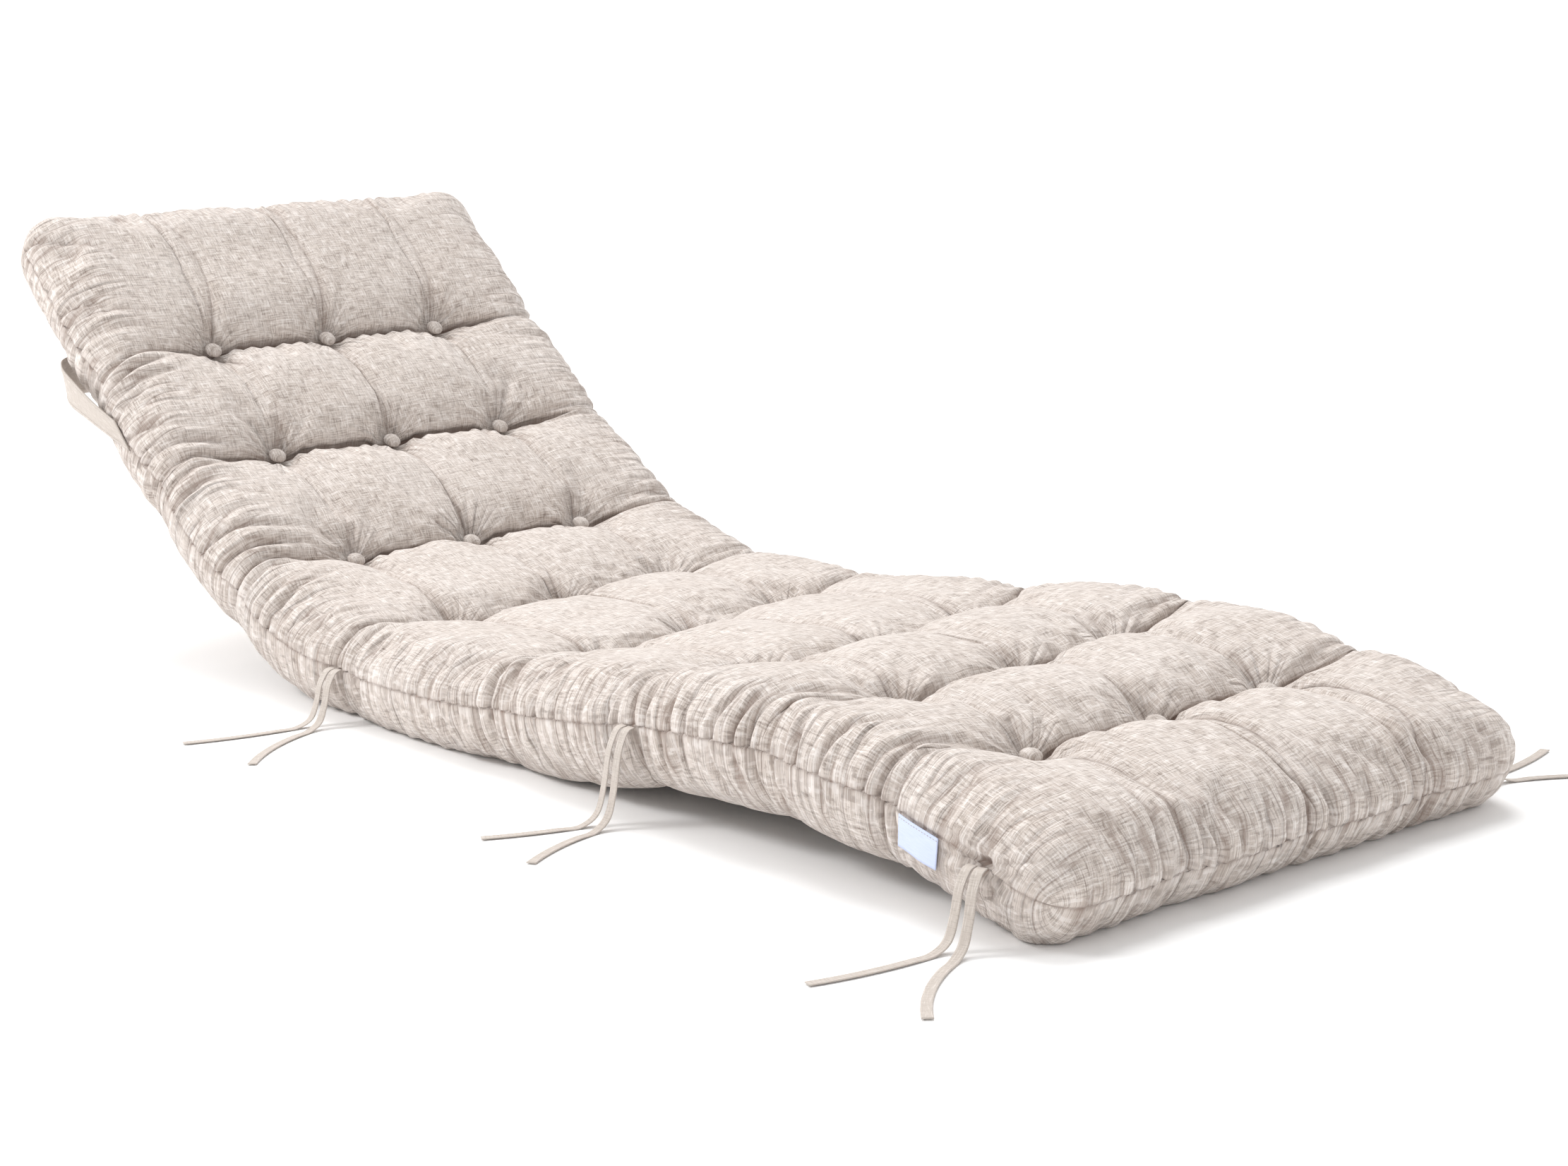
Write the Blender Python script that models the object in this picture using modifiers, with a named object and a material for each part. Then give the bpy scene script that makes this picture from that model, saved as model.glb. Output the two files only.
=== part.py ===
"""A tufted sun lounger cushion, lying in the curve of the lounger that it was sewn for.

Metres, +Z up. The head is at -X and raised, the foot is at +X, and -Y is the near long side. The seat
and the foot rest on the floor at Z = 0. Two linen panels meet in one seam round the edge. Eight rows of
three covered buttons pull them together, and a crease runs from seam to seam along each row. A strap
crosses the back, a blank label hangs from the near seam, and six ties hang from the side seams, each
with two free tails that lie on the floor.

A place on the cushion is (along, across, height): along the curve from the head seam, across from the
middle line, and square to the middle surface, up through the face that is lain on.
"""

import math
from collections import namedtuple

import bmesh
import bpy
import numpy as np

# The cushion, seam to seam
LENGTH = 1.78
WIDTH = 0.60
CREST_FACE = 0.038
CREST_BACK = 0.060
ROLL = 0.045
COLUMNS = (-0.15, 0.0, 0.15)

# How far the stitching holds each panel from the middle surface
TUFT = 0.010
PIT_RADIUS = 0.021
PIT_EDGE = 0.046

# How full each panel stays between the tufts of a row, and between the tufts of a column
Saddle = namedtuple("Saddle", "row column")
FACE_SADDLE = Saddle(0.36, 0.78)
BACK_SADDLE = Saddle(0.80, 0.92)

# The rise of the padding from a crease to a crest
ARCH_ROUND = 2.3
ARCH_RISE = 0.6
END_ARCH = 0.11

# The creases fade towards the seam, and draw it in a little where they meet it
FADE = 0.70
FADE_START = 0.115
FADE_END = 0.035
DRAWN_SIDE = 0.008
DRAWN_END = 0.004
DRAWN_SPREAD = 0.032
END_REACH = 0.15

# The lounger's curve: downhill slope towards the foot, at distances along the cushion
Slope = namedtuple("Slope", "along degrees")
SLOPES = (
    Slope(0.000, 42.0),
    Slope(0.225, 42.0),
    Slope(0.395, 37.0),
    Slope(0.580, 27.0),
    Slope(0.770, 3.0),
    Slope(1.000, -4.0),
    Slope(1.265, -8.0),
    Slope(1.450, 1.5),
    Slope(1.605, 8.5),
    Slope(1.780, 23.0),
)
SPINE_STEPS = 356
REST_DEPTH = 0.007

# Where each row of tufts lies along the cushion, as unevenly as it was stitched
Row = namedtuple("Row", "near_seam near middle far far_seam")
ROWS = (
    Row(0.235, 0.225, 0.225, 0.225, 0.235),
    Row(0.405, 0.395, 0.395, 0.395, 0.405),
    Row(0.580, 0.580, 0.580, 0.580, 0.590),
    Row(0.785, 0.785, 0.765, 0.755, 0.760),
    Row(1.060, 1.030, 0.995, 0.950, 0.945),
    Row(1.265, 1.275, 1.270, 1.240, 1.185),
    Row(1.440, 1.455, 1.450, 1.425, 1.410),
    Row(1.585, 1.605, 1.605, 1.600, 1.605),
)
ROW_STATIONS = (-WIDTH / 2, *COLUMNS, WIDTH / 2)

# Faces between one line of the cushion and the next
ROLL_STEPS = 6
CELL_STEPS = 6
SIDE_STEPS = 3
END_STEPS = 4
MERGE_DISTANCE = 1e-5
ROUTE_STEPS = 24

BUTTON_RADIUS = 0.0095
BUTTON_HEIGHT = 0.008
BUTTON_GAP = 0.0004
BUTTON_SIDES = 12
BUTTON_RINGS = 6
BUTTON_FLAT = 0.35

STRAP_WIDTH = 0.045
STRAP_THICKNESS = 0.002
STRAP_ALONG = 0.322
STRAP_STEPS = 44

LABEL_WIDTH = 0.048
LABEL_DROP = 0.028
LABEL_THICKNESS = 0.001
LABEL_ALONG = 1.612
LABEL_GAP = 0.0014
LABEL_TUCK = 0.006

TAPE_WIDTH = 0.009
TAPE_THICKNESS = 0.0012
TAIL_STEPS = 24
TAIL_SPACING = 0.0052
TAIL_GAP = 0.004
TAIL_FINE_STEPS = 400
FLOOR_CLEARANCE = 0.0014
FLOOR_STEP = 0.02
FLOOR_POINTS = 9
BEND_START = 0.03

# A tail's fall from the seam: distance out, and share of the seam's height
TAIL_FALL = ((0.0, 1.0), (0.008, 0.96), (0.016, 0.74), (0.021, 0.42), (0.029, 0.12), (0.045, 0.0))

# Each tie is sewn into both side seams, and has two tails
Tie = namedtuple("Tie", "name near_along far_along turn")
TIES = (
    Tie("seat", 0.785, 0.760, 6.0),
    Tie("knee", 1.265, 1.185, -4.0),
    Tie("foot", 1.705, 1.705, 10.0),
)
Tail = namedtuple("Tail", "name offset heading bend length")
TAILS = (
    Tail("long", 1.0, 5.0, 2.2, 0.20),
    Tail("short", -1.0, -6.0, -1.4, 0.19),
)

LINEN = (0.56, 0.50, 0.45)
LABEL_WHITE = (0.80, 0.85, 0.92)


def spine():
    """Returns distances along the middle surface with the X, Z and slope there, head seam first."""
    along = np.linspace(0.0, LENGTH, SPINE_STEPS + 1)
    slope = np.radians(np.interp(along, [s.along for s in SLOPES], [s.degrees for s in SLOPES]))
    middle = (slope[1:] + slope[:-1]) / 2
    step = LENGTH / SPINE_STEPS
    x = np.concatenate(([0.0], np.cumsum(step * np.cos(middle))))
    z = np.concatenate(([0.0], np.cumsum(-step * np.sin(middle))))
    return along, x, z, slope


ALONG, SPINE_X, SPINE_Z, SPINE_SLOPE = spine()


def row_lines(across):
    """Returns where each crease crosses the given distances from the middle line, one line for each row."""
    return np.array([np.interp(across, ROW_STATIONS, row) for row in ROWS])


def arch(share):
    """Returns the rise of the padding, 0 to 1, at a share of the way from a crease to the crest."""
    share = np.clip(share, 0.0, 1.0)
    return (1 - (1 - share) ** ARCH_ROUND) ** ARCH_RISE


def smooth(value, low, high):
    """Returns 0 below low, 1 above high and a smooth rise between them."""
    t = np.clip((value - low) / (high - low), 0.0, 1.0)
    return t * t * (3 - 2 * t)


def fullness(along, across, saddle):
    """Returns how full the padding is, from 0 in a tuft's pit to 1 on a crest."""
    behind = np.full_like(along, -np.inf)
    ahead = np.full_like(along, np.inf)
    for line in row_lines(across):
        behind = np.where(line <= along + 1e-9, np.maximum(behind, line), behind)
        ahead = np.where(line >= along - 1e-9, np.minimum(ahead, line), ahead)
    from_crease = np.minimum(along - behind, ahead - along)
    half_cell = np.where(np.isfinite(ahead - behind), (ahead - behind) / 2, END_ARCH)
    half_cell = np.maximum(half_cell, 1e-6)
    lengthwise = arch(np.abs(from_crease) / half_cell)
    spacing = COLUMNS[1] - COLUMNS[0]
    from_column = np.min([np.abs(across - column) for column in COLUMNS], axis=0)
    crosswise = arch(from_column / (spacing / 2))
    full = (
        saddle.row * crosswise
        + saddle.column * lengthwise
        + (1 - saddle.row - saddle.column) * crosswise * lengthwise
    )
    to_seam = np.minimum(np.minimum(along, LENGTH - along), WIDTH / 2 - np.abs(across))
    full = full + (1 - full) * FADE * (1 - smooth(to_seam, FADE_END, FADE_START))
    for row in ROWS:
        for column, station in zip(COLUMNS, (row.near, row.middle, row.far)):
            from_tuft = np.hypot(along - station, across - column)
            full = full * smooth(from_tuft, PIT_RADIUS, PIT_EDGE)
    return full


def roll_shares(along, across):
    """Returns how far into the rolled edge a point is, towards the nearest end and towards the nearest side."""
    to_end = np.minimum(along, LENGTH - along)
    to_side = WIDTH / 2 - np.abs(across)
    return np.clip(1 - to_end / ROLL, 0, 1), np.clip(1 - to_side / ROLL, 0, 1)


def rounded(along, across):
    """Returns the point moved so that the four corners of the outline are round, and its roll share."""
    end, side = roll_shares(along, across)
    new_end = end * np.sqrt(1 - side**2 / 2)
    new_side = side * np.sqrt(1 - end**2 / 2)
    towards_end = np.where(along < LENGTH / 2, -1.0, 1.0)
    along = along + towards_end * ROLL * (new_end - end)
    across = across + np.sign(across) * ROLL * (new_side - side)
    return along, across, np.minimum(np.hypot(new_end, new_side), 1.0)


def drawn_in(along, across):
    """Returns the point pulled inwards where the creases reach the seam."""
    pull = np.zeros_like(along)
    for line in row_lines(across):
        pull += np.exp(-(((along - line) / DRAWN_SPREAD) ** 2))
    side = (np.abs(across) / (WIDTH / 2)) ** 4
    new_across = across - np.sign(across) * DRAWN_SIDE * pull * side
    pull = np.zeros_like(along)
    for column in COLUMNS:
        pull += np.exp(-(((across - column) / DRAWN_SPREAD) ** 2))
    end = np.clip(1 - np.minimum(along, LENGTH - along) / END_REACH, 0, 1) ** 2
    towards_end = np.where(along < LENGTH / 2, -1.0, 1.0)
    return along - towards_end * DRAWN_END * pull * end, new_across


def bent(along, across, height):
    """Returns places on the cushion as points of the lounger's curve, with the head seam at the origin."""
    slope = np.interp(along, ALONG, SPINE_SLOPE)
    x = np.interp(along, ALONG, SPINE_X) + height * np.sin(slope)
    z = np.interp(along, ALONG, SPINE_Z) + height * np.cos(slope)
    return np.stack(np.broadcast_arrays(x, across, z), axis=-1)


def padding(along, across, face):
    """Returns the cushion's face as places on it, or its back where face is -1."""
    crest, saddle = (CREST_FACE, FACE_SADDLE) if face > 0 else (CREST_BACK, BACK_SADDLE)
    height = TUFT + (crest - TUFT) * fullness(along, across, saddle)
    along, across, share = rounded(along, across)
    height = height * np.sqrt(1 - share**2)
    along, across = drawn_in(along, across)
    return along, across, face * height


def eased(count):
    """Returns stations from 0 to 1, closest together at both ends."""
    return [(1 - math.cos(math.pi * k / count)) / 2 for k in range(count + 1)]


def roll_stations(count):
    """Returns stations from 0 at a seam to 1 on the crest, spaced evenly round the rolled edge."""
    return [1 - math.cos(math.pi / 2 * k / count) for k in range(count + 1)]


def crease_stations(count):
    """Returns stations from 0 on a crest to 1 at a crease, closest together at the crease."""
    return [math.sin(math.pi / 2 * k / count) for k in range(count + 1)]


def stations():
    """Returns the grid's lines across, as distances, and along, as (line, next line, share) of the rows."""
    half = [-WIDTH / 2 + ROLL * s for s in roll_stations(ROLL_STEPS)]
    inner = COLUMNS[0] - half[-1]
    half += [half[ROLL_STEPS] + inner * s for s in crease_stations(SIDE_STEPS)[1:]]
    half += [COLUMNS[0] + (COLUMNS[1] - COLUMNS[0]) * s for s in eased(CELL_STEPS)[1:]]
    across = half + [-value for value in reversed(half[:-1])]
    along = [(0, s) for s in roll_stations(ROLL_STEPS)]
    along += [(1, s) for s in crease_stations(END_STEPS)[1:]]
    for cell in range(len(ROWS) - 1):
        along += [(2 + cell, s) for s in eased(CELL_STEPS)[1:]]
    last = len(ROWS) + 1
    along += [(last, 1 - s) for s in reversed(crease_stations(END_STEPS)[:-1])]
    along += [(last + 1, 1 - s) for s in reversed(roll_stations(ROLL_STEPS)[:-1])]
    return across, along


def grid_plan():
    """Returns the distances along and across of each point of the grid, as two arrays."""
    across, along = stations()
    across = np.array(across)
    lines = [np.zeros_like(across), np.full_like(across, ROLL), *row_lines(across)]
    lines += [np.full_like(across, LENGTH - ROLL), np.full_like(across, LENGTH)]
    plan = np.array([lines[k] + (lines[k + 1] - lines[k]) * share for k, share in along])
    return plan, np.broadcast_to(across, plan.shape)


def shift_to_floor():
    """Returns the shift that centres the cushion over the origin with its lowest padding just below the floor."""
    plan = grid_plan()
    points = np.concatenate([bent(*padding(*plan, face)).reshape(-1, 3) for face in (1, -1)])
    low, high = points.min(axis=0), points.max(axis=0)
    return np.array([-(low[0] + high[0]) / 2, 0.0, -low[2] - REST_DEPTH])


SHIFT = shift_to_floor()


def placed(along, across, height):
    """Returns places on the cushion as X, Y and Z."""
    return bent(along, across, height) + SHIFT


def directions(along):
    """Returns the unit vectors down the slope and square to it, at a distance along the cushion."""
    slope = float(np.interp(along, ALONG, SPINE_SLOPE))
    down = np.array([math.cos(slope), 0.0, -math.sin(slope)])
    out = np.array([math.sin(slope), 0.0, math.cos(slope)])
    return down, out


def smooth_route(points, count):
    """Returns evenly spaced points of the smooth curve through a route's own points."""
    points = np.array(points, float)
    padded = np.concatenate([[2 * points[0] - points[1]], points, [2 * points[-1] - points[-2]]])
    fine = []
    for k in range(len(points) - 1):
        before, start, end, after = padded[k : k + 4]
        for t in np.linspace(0, 1, ROUTE_STEPS, endpoint=False):
            fine.append(
                start
                + 0.5 * t * (end - before)
                + 0.5 * t**2 * (2 * before - 5 * start + 4 * end - after)
                + 0.5 * t**3 * (3 * start - before - 3 * end + after)
            )
    return evenly_spaced(np.array(fine + [points[-1]]), count)


def evenly_spaced(route, count, length=None):
    """Returns evenly spaced points of a route, over its whole length or the length given."""
    run = np.concatenate(([0.0], np.cumsum(np.linalg.norm(np.diff(route, axis=0), axis=1))))
    wanted = np.linspace(0, run[-1] if length is None else length, count)
    return np.stack([np.interp(wanted, run, route[:, axis]) for axis in range(3)], axis=1)


def collection(name):
    """Returns a new collection in the scene."""
    made = bpy.data.collections.new(name)
    bpy.context.scene.collection.children.link(made)
    return made


def material(name, colour, roughness):
    """Returns a plain cloth material."""
    made = bpy.data.materials.new(name)
    made.use_nodes = True
    shader = made.node_tree.nodes["Principled BSDF"]
    shader.inputs["Base Color"].default_value = (*colour, 1.0)
    shader.inputs["Roughness"].default_value = roughness
    shader.inputs["Metallic"].default_value = 0.0
    return made


def finished(name, mesh_source, finish, where):
    """Makes the named object from a bmesh, dresses it and puts it in its collection."""
    mesh = bpy.data.meshes.new(name)
    mesh_source.to_mesh(mesh)
    mesh_source.free()
    mesh.shade_smooth()
    mesh.materials.append(finish)
    made = bpy.data.objects.new(name, mesh)
    where.objects.link(made)
    return made


def grid_points(bm, rows, columns):
    """Adds a flat primitive grid and returns its points in an array, by row and column."""
    first = len(bm.verts)
    bmesh.ops.create_grid(bm, x_segments=rows - 1, y_segments=columns - 1, size=0.5)
    bm.verts.ensure_lookup_table()
    points = np.empty((rows, columns), dtype=object)
    for vert in bm.verts[first:]:
        i = round((vert.co.x + 0.5) * (rows - 1))
        j = round((vert.co.y + 0.5) * (columns - 1))
        points[i, j] = vert
    return points


def make_cushion(finish, where):
    """The filled pad: a face panel and a back panel, joined along the seam."""
    along, across = grid_plan()
    bm = bmesh.new()
    for face in (1, -1):
        panel = grid_points(bm, *along.shape)
        points = placed(*padding(along, across, face))
        points[..., 2] = np.maximum(points[..., 2], 0.0)
        for i, j in np.ndindex(*along.shape):
            panel[i, j].co = points[i, j]
    bmesh.ops.remove_doubles(bm, verts=bm.verts, dist=MERGE_DISTANCE)
    bmesh.ops.recalc_face_normals(bm, faces=bm.faces)
    return finished("cushion", bm, finish, where)


def make_button(name, along, across, finish, where):
    """A covered button: a low dome that sits in a tuft's pit."""
    bm = bmesh.new()
    bmesh.ops.create_uvsphere(bm, u_segments=BUTTON_SIDES, v_segments=BUTTON_RINGS, radius=1.0)
    down, out = directions(along)
    centre = placed(along, across, TUFT + BUTTON_GAP)
    for vert in bm.verts:
        side, cross, rise = vert.co
        rise = max(rise, -BUTTON_FLAT) + BUTTON_FLAT
        vert.co = (
            centre
            + BUTTON_RADIUS * side * down
            + BUTTON_RADIUS * cross * np.array([0.0, 1.0, 0.0])
            + BUTTON_HEIGHT * rise / (1 + BUTTON_FLAT) * out
        )
    bmesh.ops.remove_doubles(bm, verts=bm.verts, dist=MERGE_DISTANCE)
    bmesh.ops.recalc_face_normals(bm, faces=bm.faces)
    return finished(name, bm, finish, where)


def make_band(name, middle, rulings, width, thickness, finish, where):
    """A flat band: a grid laid along its middle line, as wide as its rulings, with a wall of cloth."""
    bm = bmesh.new()
    shares = (-0.5, 0.5)
    points = grid_points(bm, len(middle), len(shares))
    for i, j in np.ndindex(*points.shape):
        points[i, j].co = middle[i] + width * shares[j] * rulings[i]
    made = finished(name, bm, finish, where)
    wall = made.modifiers.new("cloth", "SOLIDIFY")
    wall.thickness = thickness
    wall.offset = 0.0
    return made


# The strap's middle line on the near half: back from the seam, across, and up
StrapPoint = namedtuple("StrapPoint", "back across up ruling_degrees")
STRAP_ROUTE = (
    StrapPoint(0.000, -0.3022, 0.000, -42.0),
    StrapPoint(0.045, -0.3035, 0.014, -50.0),
    StrapPoint(0.095, -0.3020, 0.030, -66.0),
    StrapPoint(0.140, -0.2960, 0.042, -86.0),
    StrapPoint(0.174, -0.2740, 0.047, -100.0),
    StrapPoint(0.196, -0.2250, 0.046, -108.0),
    StrapPoint(0.206, -0.1200, 0.040, -110.0),
    StrapPoint(0.210, 0.0000, 0.036, -110.0),
)


def make_strap(finish, where):
    """The strap across the back, sewn into both side seams and hanging a little slack."""
    start = placed(STRAP_ALONG, 0.0, 0.0)
    half = [(start[0] - p.back, p.across, start[2] + p.up) for p in STRAP_ROUTE]
    whole = half + [(x, -y, z) for x, y, z in reversed(half[:-1])]
    middle = smooth_route(whole, STRAP_STEPS + 1)
    turns = [p.ruling_degrees for p in STRAP_ROUTE]
    turns = np.radians(turns + turns[-2::-1])
    turn = np.interp(np.linspace(0, 1, STRAP_STEPS + 1), np.linspace(0, 1, len(turns)), turns)
    rulings = np.stack([np.cos(turn), 0 * turn, np.sin(turn)], axis=1)
    return make_band("strap", middle, rulings, STRAP_WIDTH, STRAP_THICKNESS, finish, where)


def seam_point(along, side):
    """Returns the point of the seam at a distance along, on the near side (-1) or the far side (1)."""
    across = np.array([side * WIDTH / 2])
    along, across, _ = rounded(np.array([along]), across)
    along, across = drawn_in(along, across)
    return placed(along, across, 0.0)[0]


def make_label(finish, where):
    """The blank label, sewn into the near seam by its upper edge and hanging over the back panel's side."""
    columns, rows = 9, 6
    bm = bmesh.new()
    points = grid_points(bm, columns, rows)
    for i, j in np.ndindex(columns, rows):
        along = LABEL_ALONG + LABEL_WIDTH * i / (columns - 1)
        drop = LABEL_DROP * j / (rows - 1)
        edge = seam_point(along, -1)
        recess = LABEL_TUCK * (drop / LABEL_DROP) ** 2
        down, out = directions(along)
        points[i, j].co = edge - drop * out + np.array([0.0, recess - LABEL_GAP, 0.0])
    made = finished("label", bm, finish, where)
    wall = made.modifiers.new("cloth", "SOLIDIFY")
    wall.thickness = LABEL_THICKNESS
    wall.offset = 0.0
    return made


def tail_route(root, side, heading, bend, length):
    """Returns the middle line of a tie's tail: out of the seam, down, and along the floor."""
    drop = root[2] - FLOOR_CLEARANCE
    shape = [(out, FLOOR_CLEARANCE + share_up * drop) for out, share_up in TAIL_FALL]
    landed = TAIL_FALL[-1][0]
    shape += [(landed + FLOOR_STEP * k, FLOOR_CLEARANCE) for k in range(1, FLOOR_POINTS + 1)]
    points = []
    for reach, height in shape:
        swing = math.radians(heading) + bend * max(reach - BEND_START, 0.0)
        points.append(
            (root[0] + reach * math.sin(swing), root[1] + side * reach * math.cos(swing), height)
        )
    return evenly_spaced(smooth_route(points, TAIL_FINE_STEPS), TAIL_STEPS + 1, length)


def make_tail(name, route, finish, where):
    """One free tail of a tie: a flat tape whose width stays level."""
    run = np.gradient(route, axis=0)
    level = np.stack([run[:, 1], -run[:, 0], 0 * run[:, 0]], axis=1)
    level /= np.linalg.norm(level, axis=1)[:, None]
    return make_band(name, route, level, TAPE_WIDTH, TAPE_THICKNESS, finish, where)


def main():
    """Clears the scene and makes the cushion with everything that is sewn to it."""
    for old in list(bpy.data.objects):
        bpy.data.objects.remove(old, do_unlink=True)
    where = collection("sun_lounger_cushion")
    linen = material("linen", LINEN, 0.9)
    button_linen = material("button_linen", LINEN, 0.85)
    tape = material("tape", LINEN, 0.85)
    white = material("label_white", LABEL_WHITE, 0.6)
    make_cushion(linen, where)
    for number, row in enumerate(ROWS, start=1):
        for place, along, across in zip(("near", "middle", "far"), row[1:4], COLUMNS):
            make_button(f"button_{number}_{place}", along, across, button_linen, where)
    make_strap(tape, where)
    make_label(white, where)
    for tie in TIES:
        for side, along in ((-1, tie.near_along), (1, tie.far_along)):
            root = seam_point(along, side) + np.array([0.0, side * TAIL_GAP, 0.0])
            for tail in TAILS:
                start = root + np.array([tail.offset * TAIL_SPACING, 0.0, 0.0])
                route = tail_route(start, side, tail.heading + tie.turn, tail.bend, tail.length)
                name = f"tie_{tie.name}_{'near' if side < 0 else 'far'}_{tail.name}"
                make_tail(name, route, tape, where)


main()
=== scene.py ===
"""The sun lounger cushion as it looks: linen, tufts, creases, buttons, strap, label and ties.

Metres, +Z up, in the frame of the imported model. A place on the cushion is (along, across, height): along
the curve from the head seam, across from the middle line, and square to the middle surface.
"""

from __future__ import annotations

import logging
import math
from dataclasses import dataclass, field
from enum import Enum

import bmesh
import bpy
import numpy as np
from mathutils import Matrix

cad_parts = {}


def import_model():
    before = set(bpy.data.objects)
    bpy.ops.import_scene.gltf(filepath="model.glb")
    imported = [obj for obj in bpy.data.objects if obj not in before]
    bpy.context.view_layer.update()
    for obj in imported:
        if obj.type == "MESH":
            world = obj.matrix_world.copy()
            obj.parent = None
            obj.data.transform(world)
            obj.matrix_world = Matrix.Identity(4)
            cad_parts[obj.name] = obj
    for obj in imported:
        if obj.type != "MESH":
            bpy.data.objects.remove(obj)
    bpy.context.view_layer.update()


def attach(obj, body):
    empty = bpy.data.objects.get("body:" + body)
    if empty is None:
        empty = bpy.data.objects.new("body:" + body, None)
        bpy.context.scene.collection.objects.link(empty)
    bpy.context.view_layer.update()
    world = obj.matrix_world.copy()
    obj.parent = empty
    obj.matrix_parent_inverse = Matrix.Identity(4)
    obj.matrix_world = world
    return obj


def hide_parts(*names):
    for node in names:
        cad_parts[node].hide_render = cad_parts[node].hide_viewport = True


LOG = logging.getLogger("sun_lounger_cushion")
BODY = "root"
SEED = 7
ROUTE_STEPS = 24


class Panel(Enum):
    """One of the two linen panels that meet at the seam."""

    FACE = 1
    BACK = -1


class Side(Enum):
    """One of the cushion's long sides."""

    NEAR = -1
    FAR = 1


@dataclass(frozen=True)
class Slope:
    """A downhill slope of the lounger's curve, in degrees, at a distance along it."""

    along: float
    degrees: float


@dataclass(frozen=True)
class TuftRow:
    """Where a crease meets the near seam, its three tufts and the far seam, as distances along."""

    near_seam: float
    near: float
    middle: float
    far: float
    far_seam: float

    def stations(self) -> tuple[float, ...]:
        """Returns the five distances, near seam first."""
        return (self.near_seam, self.near, self.middle, self.far, self.far_seam)


@dataclass(frozen=True)
class Saddle:
    """How full the padding stays between two tufts of a row, and between two tufts of a column."""

    row: float
    column: float


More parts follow.
